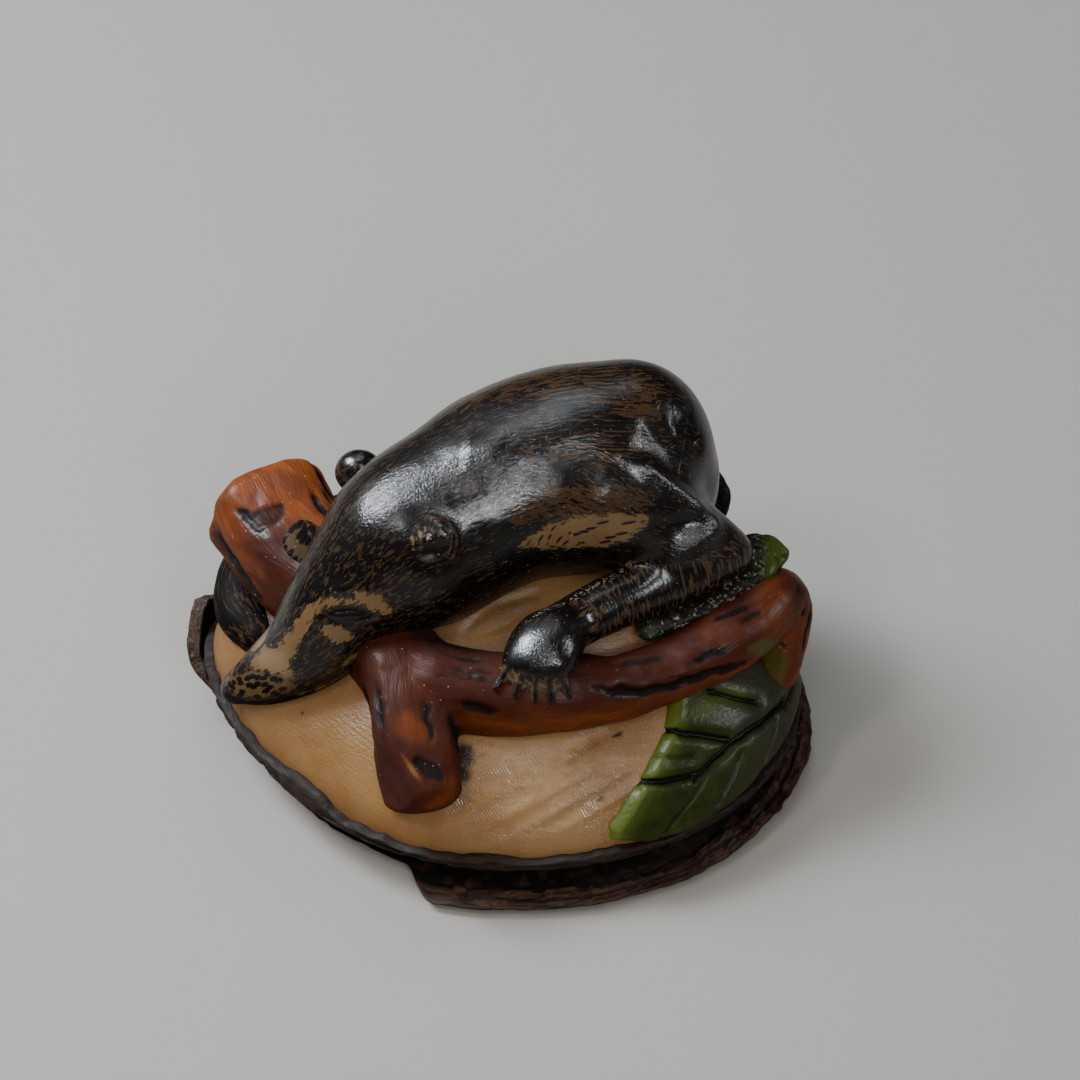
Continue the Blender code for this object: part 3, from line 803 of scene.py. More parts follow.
def make_ground():
    """The nut's own dome and the seat under the animal, scraped and a little faceted."""
    rise = np.radians(np.linspace(-88, 88, 90))[:, None]
    dome = nut_point(around(200)[0][None], rise)
    piece = fused("nut_ground", [dome, ball(*SEAT, sides=96)], voxel=0.36, ease=5)
    points = points_of(piece)
    facet = 0.16 * grain(points, 5.5, 1) + 0.05 * grain(points, 2.1, 2)
    scrape = np.zeros(len(points))
    bow = np.array((0, -0.9, 0.9)) * np.sin(np.linspace(0, np.pi, 6))[:, None]
    for start, length, depth in SCRAPES:
        line = np.array(start) + np.outer(np.linspace(0, length, 6), SCRAPE_WAY) + bow
        away, _ = to_line(lay(points, DOME_FRONT), lay(line, DOME_FRONT))
        stroke = smooth(SCRAPE_HALF, 0.75, away) * (points[:, 1] < SCRAPE_BACK)
        facet = facet - 1.4 * depth * (1 - (np.minimum(away, SCRAPE_HALF) / SCRAPE_HALF) ** 2) * stroke
        scrape = np.maximum(scrape, stroke * smooth(0.0, 0.5, grain(points, 1.6, 3) + 0.1))
    hollow = brush(points, HOLLOW)
    facet = facet - 0.35 * smooth(-0.4, 0.3, hollow) * (1 - smooth(0.3, 1.2, hollow) * 0.7)
    push(piece, facet * smooth(7, 9, points[:, 2]))
    points = points_of(piece)
    x, y, z = points.T
    # Darker towards the bottom and towards the left, and painted shade up on the seat under the animal's
    # belly.
    stain = 0.35 * (1 - smooth(5.5, 9.0, z)) + 0.2 * smooth(17.0, 19.0, z) + 0.25 * smooth(2, -12, x)
    crook = smooth(-0.3, 0.5, brush(points, GROUND_CROOK) + 0.5 * grain(points, 0.7, 26))
    dirt_and_shade = np.maximum(crook, painted(-0.1, 0.1, points, *SPOTS))
    front = smooth(-8.5, -5.0, x) * smooth(-8, -13, y)
    edges = brush(points, *SEAT_EDGES) + 0.3 * grain(points, 0.8, 17)
    mark(piece, "stain", np.clip(stain, 0, 1))
    # Dirt in the crook and the dark spots, and painted shade in the gap behind the tail, between tail,
    # log and muzzle.
    mark(piece, "dirt_and_shade", np.maximum(dirt_and_shade, 0.8 * painted(-0.6, 0.6, points, TAIL_GAP_SHADE)))
    mark(piece, "scrape", scrape)
    mark(piece, "wet", front * (0.35 + 0.65 * scrape) + 0.25 * smooth(15.0, 17.0, z))
    mark(piece, "dust", 0.25 + 0.75 * smooth(15.5, 18, z))
    mark(piece, "crumbs", 0.8 * smooth(-0.5, 0.2, edges))
    return piece


# The torn edge of the skin, closed over: part of the way up to it, part of the skin's thickness.
SKIN_EDGE = ((0.5, 1), (0.85, 0.95), (1, 0.7), (1.05, 0.3), (1.0, -0.2))


def make_seed_skin():
    """Dark skin left on the lower nut: it stands proud of the ivory and ends in a torn edge."""
    angle, ring = around(520)
    ring = ring * 30
    torn = 2.6 + 1.3 * grain(ring, 3.4, 3) + 1.2 * grain(ring, 1.3, 4)
    torn += 4.0 * peak(236, 9, np.degrees(angle))
    rises = np.concatenate([np.linspace(-88, -10, 26), np.linspace(-8, 0, 8)])[:, None]
    stack = np.concatenate([ring * (1, 1, 0) + (0, 0, k * 0.25) for k in rises.ravel()])
    layer = grain(stack, 1.5, 5).reshape(len(rises), -1)
    thick = 0.12 * grain(ring, 1.2, 5)[None] - 0.3 * smooth(0.0, 0.25, layer)
    thick = SKIN + thick * smooth(-40, -4, rises)
    thick = thick - 0.6 * smooth(-18, -34, rises + 6 * grain(ring, 2.0, 15)[None])
    outer = nut_point(angle[None], np.radians(rises), 0.0, thick)
    edge = [nut_point(angle, np.radians(torn * up), 0.0, SKIN * out) for up, out in SKIN_EDGE]
    inward = np.radians(np.array((-2.0, -12.0, -30.0, -60.0, -85.0)))[:, None]
    inner = nut_point(angle[None], inward, -0.4)
    piece = put("seed_skin", [closed(np.concatenate([outer, np.stack(edge), inner]))])
    points = points_of(piece)
    turn = turn_of(points)
    flow = np.stack([turn * 25, points[:, 2], np.hypot(points[:, 0], points[:, 1])], -1)
    mark(piece, "flow", flow[corners_of(piece)], "CORNER")
    ragged = points[:, 2] - rim_height(turn) + 0.6 * grain(points * (1, 1, 0.5), 1.6, 16)
    mark(piece, "outer", 0.66 + 0.34 * smooth(-0.9, -1.3, ragged))
    mark(piece, "dust", 0.15 + 0 * turn)
    return piece


def shell_edge(angle):
    """Height of the broken shell edge and how far it stands outside the nut's plan."""
    turn = np.degrees(angle) % 360
    front = smooth(176, 214, turn) * (1 - smooth(318, 352, turn))
    right = 1 - smooth(35, 95, turn) + smooth(300, 340, turn)
    top = BACK_TOP + (RIGHT_TOP - BACK_TOP) * right
    top = top + (LIP_TOP - top) * front + (FLAKE_TOP - BACK_TOP) * peak(170, 13, turn)
    reach = SHELL_GAP + SHELL_WALL + FLAKE_REACH * peak(170, 14, turn)
    reach = reach + UNDER_REACH * smooth(182, 200, turn) * (1 - smooth(256, 266, turn))
    reach = reach + LIP_REACH * (smooth(260, 268, turn) + 1 - smooth(10, 35, turn))
    reach = reach + RIGHT_REACH * (smooth(290, 340, turn) + 1 - smooth(10, 35, turn))
    return top, reach


OUTSIDE_DARK = 0.75  # how far the shell's outer face is blackened


def make_shell():
    """Shell dish: floor, inner wall, flaked top edge, outer face down to the foot, as one profile
    of radius and height at each angle, with torn layers on the edge."""
    angle, place = around(720)
    ring, place = place * 28, place[:, :2]
    plan = np.linalg.norm(nut_plan(angle, SKIN) - NUT_CENTRE, axis=-1)
    top, reach = shell_edge(angle)
    turn = np.degrees(angle) % 360
    high = smooth(1.6, 4.0, top)
    top = top + high * (0.35 * grain(ring, 2.6, 6) + 0.22 * grain(ring, 0.9, 7)) - 0.25 * high
    reach = reach + 0.16 * grain(ring, 3.2, 8) + 0.12 * grain(ring, 1.0, 9) - 0.14
    rim = rim_height(angle)
    tall = KEEL + rim - RIM_HEIGHT

    def inner(z):
        drop = np.clip((rim - z - SHELL_GAP) / tall, 0, 0.99)
        return (plan + SHELL_GAP) * (1 - drop * drop) ** (KEEL_POWER / 2)

    # Radius and height of each ring, from the middle of the floor out, and how dark it is: near black
    # as painted shade on the floor and inner wall, in the gap round the nut.
    rows = [(0.02 * plan, SHELL_FLOOR + 0 * plan), (0.5 * inner(SHELL_FLOOR), SHELL_FLOOR + 0 * plan)]
    for part in np.linspace(0, 1, 12):
        z = SHELL_FLOOR + (top - SHELL_FLOOR) * part
        rows.append((inner(z), z))
    dark = [1.0 + 0 * plan] * len(rows)
    edge, last, foot = plan + reach, inner(top), FOOT * plan
    low = top - 0.4 * SHELL_WALL
    front = smooth(3.2, 2.4, top)
    for part in np.concatenate([np.linspace(0.06, 0.66, 9), np.linspace(0.69, 0.985, 30)]):
        r = last + (edge - last) * part
        spot = np.concatenate([place * r[:, None], 0 * r[:, None]], -1)
        drift = np.concatenate([place * (30 + 0.12 * r[:, None]), 1.4 * r[:, None]], -1)
        layer = grain(drift, 3.4, 10) + 0.5 * grain(drift, 1.5, 11)
        flake = -0.45 * smooth(-0.1, 0.0, layer) - 0.4 * smooth(0.32, 0.40, layer)
        flake = flake - 0.12 * grain(spot, 0.8, 13)
        beyond = r - plan
        sunk = smooth(-1.0, -1.4, beyond + 0.4 * grain(ring, 2.0, 18)) * front
        crack = peak(0.0, 0.17, beyond + 0.45 * grain(ring, 3.4, 45)) * front
        crack = crack * smooth(-0.6, -0.2, grain(ring, 2.4, 46))
        height = top + flake * (1 - sunk) - 0.35 * part**3 - 0.8 * sunk * top / 1.5 - 0.6 * crack
        under = np.clip((r - foot) / (edge - foot), 0, 1) ** 2.9 * low
        rows.append((r, np.maximum(height, under + 0.15)))
        splinter = 0.6 * smooth(0.0, 0.3, grain(drift, 1.1, 49))
        inside = smooth(0.15, 0.05, part) + 0 * plan
        # Painted shade: near black where the ledge sinks under the nut, in the crack below the skin's
        # edge and on the ledge's inner part; the splinters stay lighter.
        dark.append(np.maximum.reduce([sunk * (1 - splinter), crack, inside]))
    for part in np.concatenate([np.linspace(1, 0.1, 14), (0.05, 0.0)]):
        level = np.full((len(angle), 1), 9 * part)
        ripple = 0.1 * grain(np.concatenate([place * 30, level], -1), 1.4, 12)
        bulge = np.where(part > 0, max(part, 1e-9) ** (0.35 - 0.24 * peak(172, 16, turn)), 0)
        rows.append((foot + (edge - foot) * bulge + ripple * min(part * 8, 1), part * low))
    rows += [(0.5 * foot, 0 * foot), (0.02 * plan, 0 * foot)]
    dark += [OUTSIDE_DARK + 0 * plan] * (len(rows) - len(dark))
    way = unit(nut_plan(angle) - NUT_CENTRE)
    rings = [np.concatenate([NUT_CENTRE + way * r[:, None], z[:, None]], -1) for r, z in rows]
    piece = put("husk", [closed(np.stack(rings)[::-1])])
    points = points_of(piece)
    radius = np.hypot(points[:, 0] - NUT_CENTRE[0], points[:, 1] - NUT_CENTRE[1])
    flow = np.stack([turn_of(points) * 26, radius, points[:, 2]], -1)
    mark(piece, "flow", flow[corners_of(piece)], "CORNER")
    # Outer face black, and painted shade inside the dish and in the gap round the nut.
    mark(piece, "outer", np.append(np.concatenate(dark[::-1]), (OUTSIDE_DARK, 1.0)))
    mark(piece, "dust", np.full(len(points), 0.2))
    return piece


# ---------------------------------------------------------------- leaves

LEAF_ROOT = -1.2  # how far a leaf's under side is sunk into the nut


def leaf_grid(first, last, cells):
    """Grid over a leaf on the dome: how far along and across it each point lies, from 0 to 1, and
    its angle round the nut, from first to last."""
    part, across = (np.linspace(0, 1, count) for count in cells)
    part, across = np.meshgrid(part, across, indexing="ij")
    return part, across, first + (last - first) * part


def dome_point(angle, rise, grow=0.0):
    """nut_point for an angle and a rise in degrees."""
    return nut_point(np.radians(angle), np.radians(rise), grow)


def make_leaf(name, angle, rise, lift, **marks):
    """A leaf standing over the dome by its lift at each point of its grid, with its upper side's
    marks; the under side has none."""
    over = dome_point(angle, rise, lift.reshape(angle.shape))
    piece = put(name, [slab(over, dome_point(angle, rise, LEAF_ROOT))])
    for kind, values in marks.items():
        mark(piece, kind, np.concatenate([values.ravel(), 0 * values.ravel()]))
    return piece


# The front leaf's edges as angle round the nut and rise, its veins as points on the dome.
FRONT_HIGH = (
    (-61, 12), (-55.5, 22), (-48, 31), (-40.5, 38), (-33.5, 45), (-23, 47), (-12, 46), (-4, 42), (6, 38),
)
FRONT_LOW = ((-61, 7.5), (-53, 1.5), (-46, 1), (-38, 2), (-26, 5), (-14, 8), (-2, 9.5), (6, 10))
FRONT_VEINS = (
    (
        0.34, (24.6, -5.0, 9.8), (22.1, -8.6, 10.2), (20.5, -10.4, 10.5), (19.0, -12.1, 10.6),
        (17.4, -14.2, 10.4), (15.8, -15.9, 9.8),
    ),
    (0.34, (10.4, -17.6, 11.0), (13.0, -17.3, 10.7), (14.8, -16.5, 10.5), (16.6, -15.3, 10.1)),
    (0.30, (17.1, -8.7, 13.9), (19.4, -8.3, 12.7), (21.6, -7.6, 11.7)),
    (0.38, (13.2, -13.3, 13.2), (15.2, -13.0, 12.5), (17.0, -12.5, 11.8), (18.7, -11.9, 10.9)),
    (0.20, (16.9, -15.2, 10.0), (15.8, -17.1, 8.8), (14.5, -18.4, 7.7), (13.0, -19.5, 6.1)),
    (0.20, (20.0, -12.5, 9.7), (19.0, -14.6, 8.2), (17.7, -16.0, 6.6)),
    (0.18, (23.6, -7.4, 9.8), (22.9, -9.6, 8.4), (21.6, -12.0, 6.4)),
    (0.26, (24.2, -5.6, 9.2), (25.0, -4.0, 9.4), (25.6, -2.4, 9.6)),
    (0.14, (12.0, -15.6, 12.6), (13.8, -15.4, 11.9), (15.6, -14.6, 11.4)),
)
# Painted highlight: a yellow-green patch where the front leaf's top facet catches the light.
LEAF_TOP_HIGHLIGHT = ((16.0, -11.6, 14.2, 0.7), (18.2, -9.4, 14.4, 1.1), (20.2, -8.2, 13.6, 1.2))


def make_front_leaf():
    """Raised leaf on the right of the dome: thick rounded edge, veins cut in, blade swelling between."""
    part, across, angle = leaf_grid(-61, 6, (280, 170))
    high = np.interp(angle, *np.array(FRONT_HIGH, float).T)
    low = np.interp(angle, *np.array(FRONT_LOW, float).T)
    rise = low + (high - low) * across
    flat = dome_point(angle, rise).reshape(-1, 3)
    blade = dome_point(angle, rise, 0.8).reshape(-1, 3)
    cut, swell = np.zeros(len(flat)), np.full(len(flat), 9.0)
    for width, *line in FRONT_VEINS:
        away, _ = to_line(blade, settled(line, blade))
        away = np.maximum(away + 0.08 * grain(flat, 0.9, 30), 0)
        cut = np.maximum(cut, min(width / 0.3, 1.1) * peak(0, width, away))
        swell = np.minimum(swell, away)
    rows = [(angle[:, 0], rise[:, 0]), (angle[:, -1], rise[:, -1]), (angle[0], rise[0])]
    border = [to_line(flat, dome_point(*row)[::8])[0] for row in rows]
    left = np.minimum(*border[1:])
    rim = np.minimum(left, border[0])
    lift = 0.95 * smooth(-0.1, 0.7, rim) ** 0.5 + 0.16 * smooth(0, 1.4, swell) - 0.5 * cut
    lift += 0.06 * grain(flat, 3.2, 31) + 0.10 * peak(0.6, 0.4, left)
    top_highlight = 0.65 * painted(-0.8, 0.6, blade, LEAF_TOP_HIGHLIGHT)
    return make_leaf(
        "leaf_front", angle, rise, lift,
        vein=smooth(0.3, 0.75, cut),
        # Yellower edge: painted highlight where the bevel of the left and top edges catches the light,
        # and on the top facet.
        edge=np.maximum(0.9 * peak(0, 1.2, left) * smooth(23, 16, flat[:, 0]), top_highlight),
        grey=0.9 * smooth(0.38, 0.84, part + 0.2 * (1 - across)).ravel() * (1 - top_highlight),
        dust=0 * part + 0.15,
    )


def make_side_leaf():
    """Second, flatter leaf round the right end of the nut: a long vein and three pairs of side ones."""
    part, across, angle = leaf_grid(6, 40, (140, 130))
    high, low = 30 + 16 * np.sin(np.pi * part), 4
    rise = low + (high - low) * across
    flat = dome_point(angle, rise).reshape(-1, 3)
    veins = [((6, 18), (22, 24), (40, 20))]
    for a in (8, 16, 24):
        veins.append(((a, 19 + 0.2 * a), (a + 4, 30), (a + 9, 38)))
        veins.append(((a, 18 + 0.2 * a), (a + 4, 11), (a + 9, 6)))
    lines = [dome_point(*np.array(row, float).T) for row in veins]
    cut = np.max([peak(0, 0.28, to_line(flat, line)[0]) for line in lines], axis=0)
    rim = np.minimum(np.minimum(part, 1 - part) * 24, np.minimum(across, 1 - across) * 28).ravel()
    return make_leaf(
        "leaf_side", angle, rise, 0.6 * smooth(-0.1, 0.9, rim) - 0.36 * cut,
        vein=smooth(0.35, 0.8, cut),
        edge=0.3 * peak(0, 1.2, rim),
        grey=0.55 + 0 * part,
        dust=0 * part + 0.15,
    )


def make_back_leaf():
    """Narrow leaf between the branch and the animal's shank."""
    piece = put("leaf_back", [closed(tube(BACK_LEAF, steps=20, sides=96))])
    points = points_of(piece)
    x = points[:, 0]
    push(piece, 0.16 * grain(points, 1.1, 14) + 0.10 * grain(points, 0.5, 47))
    dark = 0.9 * smooth(22.8, 21.6, x) * smooth(11.5, 13.5, x)
    mark(piece, "vein", np.maximum(dark, 0.5 * smooth(0.3, 0.6, grain(points, 0.8, 15))))
    mark(piece, "edge", 0.45 * smooth(22.4, 23.4, x))
    mark(piece, "grey", 0.3 * smooth(21.5, 19.5, x))
    mark(piece, "dust", 0.8 + 0 * x)
    mark(piece, "crumbs", 0.8 * smooth(0.1, 0.3, grain(points, 0.45, 44)) * smooth(23.0, 21.5, x))
    return piece


# ---------------------------------------------------------------- branch


def flutes(depth):
    """Shallow grooves along a branch: five to the turn, drifting with the distance."""

    def relief(step, turn):
        wave = np.cos(5 * turn[None] + 0.4 * np.sin(2 * step[:, None]))
        return 1 - depth * np.maximum(wave, 0) ** 3

    return relief


# Knife cuts in the bark: width, depth, then points along the cut; a negative depth is a ridge.
BARK_CUTS = (
    (
        0.42, 0.50, (7.0, -14.6, 19.6), (9.5, -13.9, 18.7), (11.7, -13.1, 17.8), (14.5, -11.4, 17.1),
        (17.4, -10.0, 17.2), (20.3, -7.9, 16.6),
    ),
    (0.28, 0.26, (17.1, -6.0, 21.2), (19.1, -5.1, 21.1), (21.2, -4.4, 21.0)),
    (0.28, 0.26, (20.2, -6.1, 20.9), (22.4, -4.7, 20.8)),
    (0.34, 0.26, (15.7, -10.8, 19.5), (17.4, -9.8, 19.4), (19.2, -8.6, 19.3)),
    (0.34, 0.24, (8.9, -11.4, 20.9), (11.3, -10.7, 20.8), (13.9, -9.8, 20.3)),
    (0.22, 0.22, (-7.2, -13.4, 20.1), (-4.5, -13.7, 20.0), (-1.7, -14.4, 20.2)),
    (0.20, 0.18, (-6.9, -12.8, 20.4), (-4.4, -13.2, 20.4), (-2.2, -13.6, 20.5)),
    (0.45, 0.30, (-5.4, -15.3, 18.6), (-3.9, -15.6, 18.3), (-2.2, -15.6, 18.1)),
    (0.26, 0.18, (-7.1, -11.0, 20.7), (-5.1, -11.6, 20.8), (-3.1, -12.0, 20.8)),
    (0.45, 0.25, (25.7, -0.6, 20.2), (26.0, -0.8, 19.6)),
    (0.40, 0.25, (26.0, -1.0, 17.8), (26.3, -1.2, 16.9)),
    (0.40, 0.25, (24.3, -3.4, 15.2), (24.7, -3.4, 14.3)),
    (0.26, 0.30, (26.6, 0.2, 17.0), (26.4, -1.3, 15.2), (25.9, -2.6, 13.2)),
    (0.50, -0.40, (24.5, -3.2, 15.0), (24.3, -3.4, 13.8), (24.0, -4.0, 12.4)),
    (0.40, 0.34, (-25.9, 5.6, 23.8), (-24.7, 4.2, 23.5), (-23.5, 2.4, 23.2)),
    (0.50, 0.50, (-27.2, 6.7, 20.0), (-26.2, 4.6, 18.9), (-25.2, 2.6, 17.6), (-24.2, 0.8, 16.8)),
    (0.34, 0.36, (-19.3, 7.3, 24.4), (-18.3, 5.5, 24.0), (-17.6, 4.4, 23.6)),
    (0.30, 0.20, (-18.0, 8.2, 24.0), (-17.0, 6.6, 23.6)),
    (0.45, 0.30, (-12.4, -12.6, 18.0), (-11.9, -14.8, 17.0), (-11.6, -17.0, 15.8)),
    (0.34, 0.26, (-8.6, -14.6, 18.3), (-8.2, -16.6, 17.4), (-7.9, -18.6, 16.2)),
    (0.50, 0.35, (-14.6, -9.6, 15.0), (-13.6, -13.0, 14.4), (-13.0, -16.4, 12.6)),
    (0.45, 0.35, (-22.0, 12.6, 23.6), (-17.6, 7.4, 21.8), (-14.0, 3.0, 20.6)),
    (0.45, 0.35, (-20.6, 14.2, 19.4), (-16.6, 9.4, 18.4), (-13.4, 4.6, 17.4)),
)
# Flat knife faces at the two ends: the middle of each end and how far its faces reach, then the way
# each face looks and a point on it.
END_FACES = (
    ((-9.0, -20.0, 12.5), 5.0, (
        ((-0.78, -0.60, 0.12), (-10.9, -19.9, 13.6)),
        ((-0.05, -0.80, 0.60), (-8.6, -21.2, 14.3)),
        ((0.62, -0.55, 0.56), (-6.6, -20.0, 14.2)),
    )),
    ((-25.0, 9.0, 22.0), 6.5, (
        ((-0.74, 0.30, 0.60), (-26.9, 10.2, 23.5)),
        ((-0.86, -0.40, 0.10), (-27.9, 6.0, 19.4)),
    )),
)
# Painted strokes: lines of x, y, z and the stroke's radius there.
STUB_RECESS = ((-9.1, -19.8, 15.4, 0.5), (-8.0, -20.3, 14.9, 0.75), (-6.9, -20.7, 14.3, 0.4))
# Painted highlight: a pale line along the ridge at the stub's end, which is raised as well.
STUB_RIDGE_HIGHLIGHT = ((-10.6, -19.2, 15.9, 0.05), (-9.6, -20.4, 15.0, 0.22), (-8.5, -21.5, 14.0, 0.05))
STUB_FACE = ((-12.0, -18.6, 13.4, 1.6), (-10.8, -20.4, 13.0, 1.8), (-10.6, -21.2, 12.2, 1.4))
STUB_TOP = ((-10.1, -17.1, 17.4, 1.2), (-8.4, -17.8, 16.4, 0.8))
STUB_SIDE = ((-6.2, -20.4, 13.0, 1.0), (-7.6, -21.6, 11.4, 1.0))
CROOK = ((-7.3, -15.4, 17.9, 0.3), (-5.9, -16.3, 15.5, 0.9), (-5.0, -16.6, 13.4, 0.9))
# Painted shade: the shadow of the animal's jaw and neck on the limb's top.
NECK_SHADOW_ON_LIMB = ((-9.4, -7.4, 20.0, 1.4), (-6.8, -9.4, 20.6, 1.3), (-4.0, -9.4, 20.4, 1.0))
# Painted shade on the log's lower left side, at its foot.
LOG_FOOT_SHADE = ((-28.2, 7.0, 19.6, 1.0), (-26.6, 4.0, 17.6, 1.0), (-25.0, 1.6, 16.4, 0.8))
# Orange along the log's top rim: stain, and painted highlight where the rim catches the light.
LOG_RIM_STAIN_AND_HIGHLIGHT = (
    (-27.4, 9.0, 21.6, 1.2), (-25.6, 11.0, 24.6, 1.6), (-22.4, 10.6, 25.8, 1.6), (-19.0, 9.4, 25.0, 1.2),
)
LOG_SIDE = ((-25.4, 3.6, 20.6, 1.2), (-23.6, 1.0, 20.4, 1.0))
OLIVE_EDGE = (
    (20.9, -7.4, 18.2, 0.3),
    (21.9, -6.7, 17.8, 0.8),
    (22.8, -5.2, 15.9, 1.3),
    (23.4, -4.0, 13.6, 1.25),
    (23.5, -4.1, 12.0, 0.9),
)
LIMB_TOP = (
    (3.0, -8.6, 20.4, 0.3),
    (7.0, -8.2, 20.7, 0.35),
    (12.0, -6.6, 20.9, 0.3),
    (18.0, -2.8, 21.4, 0.5),
    (23.4, 0.4, 21.6, 0.6),
)


def make_branch():
    """Limb and log carved as one, with knife cuts along them and flat faces at the ends."""
    limb = tube(LIMB, steps=14, sides=120, power=2.2, relief=flutes(0.05))
    log = tube(LOG, steps=14, sides=120, power=3.0, blunt=0.45, relief=flutes(0.04))
    piece = fused("branch", [limb, log], voxel=0.24, ease=5)
    points = points_of(piece)
    for middle, reach, faces in END_FACES:
        close = smooth(1.25, 0.8, to_spot(points, middle) / reach)
        for way, spot in faces:
            way = unit(np.array(way))
            over = np.maximum((points - spot) @ way, 0) * close
            points -= over[:, None] * way
    set_points(piece, points)
    relax(piece, np.full(len(points), 0.8), 10)
    points = points_of(piece)
    mark_flow(piece, [course(LIMB), course(LOG)])
    push(piece, 0.15 * grain(points, 2.6, 20) + 0.04 * grain(points, 0.8, 21))
    wobble = points + 0.25 * np.stack([grain(points, 1.2, k) for k in (22, 23, 24)], -1)
    lift = np.zeros(len(points))
    for width, depth, *line in BARK_CUTS:
        cut = gouge(wobble, settled(line, points), width, depth)
        lift = np.where(np.abs(cut) > np.abs(lift), cut, lift)
    # A notch on the log's top, between two flat sides.
    one_side = (points - (-24.9, 4.9, 23.6)) @ (0.85, 0.35, 0.39)
    other_side = (points - (-22.2, 5.6, 24.7)) @ (0.35, -0.85, -0.39)
    notch = smooth(-0.1, 0.5, np.minimum(one_side, other_side))
    notch = notch * smooth(2.1, 1.4, to_spot(points, (-23.3, 4.6, 24.2)))
    recess = painted(-0.3, 0.3, points, STUB_RECESS)
    # The streak is a raised ridge, its pale colour a painted highlight.
    streak = painted(-0.16, 0.16, points, STUB_RIDGE_HIGHLIGHT)
    push(piece, lift - 0.12 * notch - 0.25 * recess + 0.2 * streak)
    x, y, z = points.T
    deep = np.clip(-lift / 0.4, 0, 1)
    face = painted(-0.25, 0.1, points, STUB_FACE)
    at_log = smooth(-13, -17, x) * smooth(0, 5, y)
    left_limb = smooth(2, -2, x) * smooth(-15, -12, x)
    cut = np.maximum.reduce([deep, 0.3 * notch, 0.55 * recess])
    # Darker: dirt in the crook, the stub's end face darker, and painted shade under the animal's neck,
    # at the log's foot and along the limb's under side.
    dirt_and_shade = np.maximum.reduce([
        0.35 * face,
        smooth(-0.4, 0.5, brush(points, CROOK) + 0.5 * grain(points, 0.7, 26)),
        0.85 * smooth(-0.4, 0.8, brush(points, NECK_SHADOW_ON_LIMB) + 0.7 * grain(points, 0.8, 27)),
        0.75 * painted(-0.8, 0.6, points, LOG_FOOT_SHADE),
        0.35 * smooth(14.6, 12.6, z) * smooth(-6, 0, x) * smooth(22, 20, x),
    ])
    # Orange where the stain is thin, with painted highlight along the log's top rim.
    glow = np.maximum.reduce([
        np.maximum(painted(-1.2, 0.8, points, LOG_RIM_STAIN_AND_HIGHLIGHT), 0.6 * at_log),
        0.75 * smooth(18.8, 16.6, z) * smooth(-8, -4, x),
        0.55 * smooth(13, 20, x) * smooth(0, 0.6, grain(points, 3.0, 28) + 0.2),
        painted(-0.8, 0.6, points, STUB_TOP),
        0.8 * painted(-0.8, 0.6, points, STUB_SIDE),
        0.7 * painted(-0.8, 0.6, points, LOG_SIDE),
    ])
    orange = glow * (0.42 + 0.58 * at_log) * (1 - face) * (1 - 0.7 * notch)
    crumbs = brush(points, LIMB_TOP) + 0.3 * grain(points, 0.7, 29)
    mark(piece, "cut", cut + 0.15 * smooth(0.1, 0.5, -grain(points, 1.6, 25)))
    mark(piece, "orange", np.clip(orange, 0, 1))
    mark(piece, "streak", streak)
    mark(piece, "dull", np.maximum.reduce([left_limb, notch, deep, 0.6 * at_log]))
    mark(piece, "olive", painted(-0.4, 0.4, points, OLIVE_EDGE))
    mark(piece, "dirt_and_shade", np.clip(dirt_and_shade, 0, 1))
    mark(piece, "dust", 0.45 + 0.55 * smooth(6, -4, x) * smooth(14, 17, z))
    mark(piece, "crumbs", smooth(-0.5, 0.3, crumbs))
    return piece


# ---------------------------------------------------------------- animal

# The body as the fur follows it: deeper than the solid one behind the shoulder.
FUR_BACK = BODY[:5] + (
    (-5.4, 1.4, 26.4, 8.6, 9.2),
    (-0.7, 4.0, 27.0, 9.2, 10.2),
    (4.6, 5.4, 27.2, 9.6, 11.0),
    (9.4, 6.4, 26.0, 9.6, 11.0),
    (13.6, 8.4, 20.6, 9.0, 11.0),
)
HEAD_UP = (-0.73, -0.24, 0.63)
HEAD_LONG = 24  # how far the head reaches along the body's course
# The near eye and ear: the middle of each, then the ways along and up it.
EYE = ((-15.4, -9.0, 23.3), (1.0, -0.05, -0.1), (-0.1, 0.45, 0.89))
EAR = ((-8.1, -7.7, 31.0), (1.0, 0.1, 0.05), (-0.05, 0.62, 0.78))
EARS = (-8.1, -6.9, 30.6), (-14.8, 7.2, 26.9)
# Root and tip of each claw, and the way the toes face.
CLAWS = (
    ((-0.8, -14.2, 22.0), (-2.3, -15.3, 20.1)),
    ((0.3, -15.2, 21.6), (-0.4, -15.9, 19.7)),
    ((1.5, -15.5, 21.5), (1.4, -16.1, 19.3)),
    ((2.7, -15.6, 21.4), (2.9, -16.2, 19.2)),
    ((3.8, -15.3, 21.3), (4.6, -15.7, 19.3)),
)
CLAW_WAY = (-0.05, -0.75, 0.65)
CLAW_TIPS = (1.2, -15.4, 20.4)
FAR_PAW = (-20.0, 1.8, 22.95)
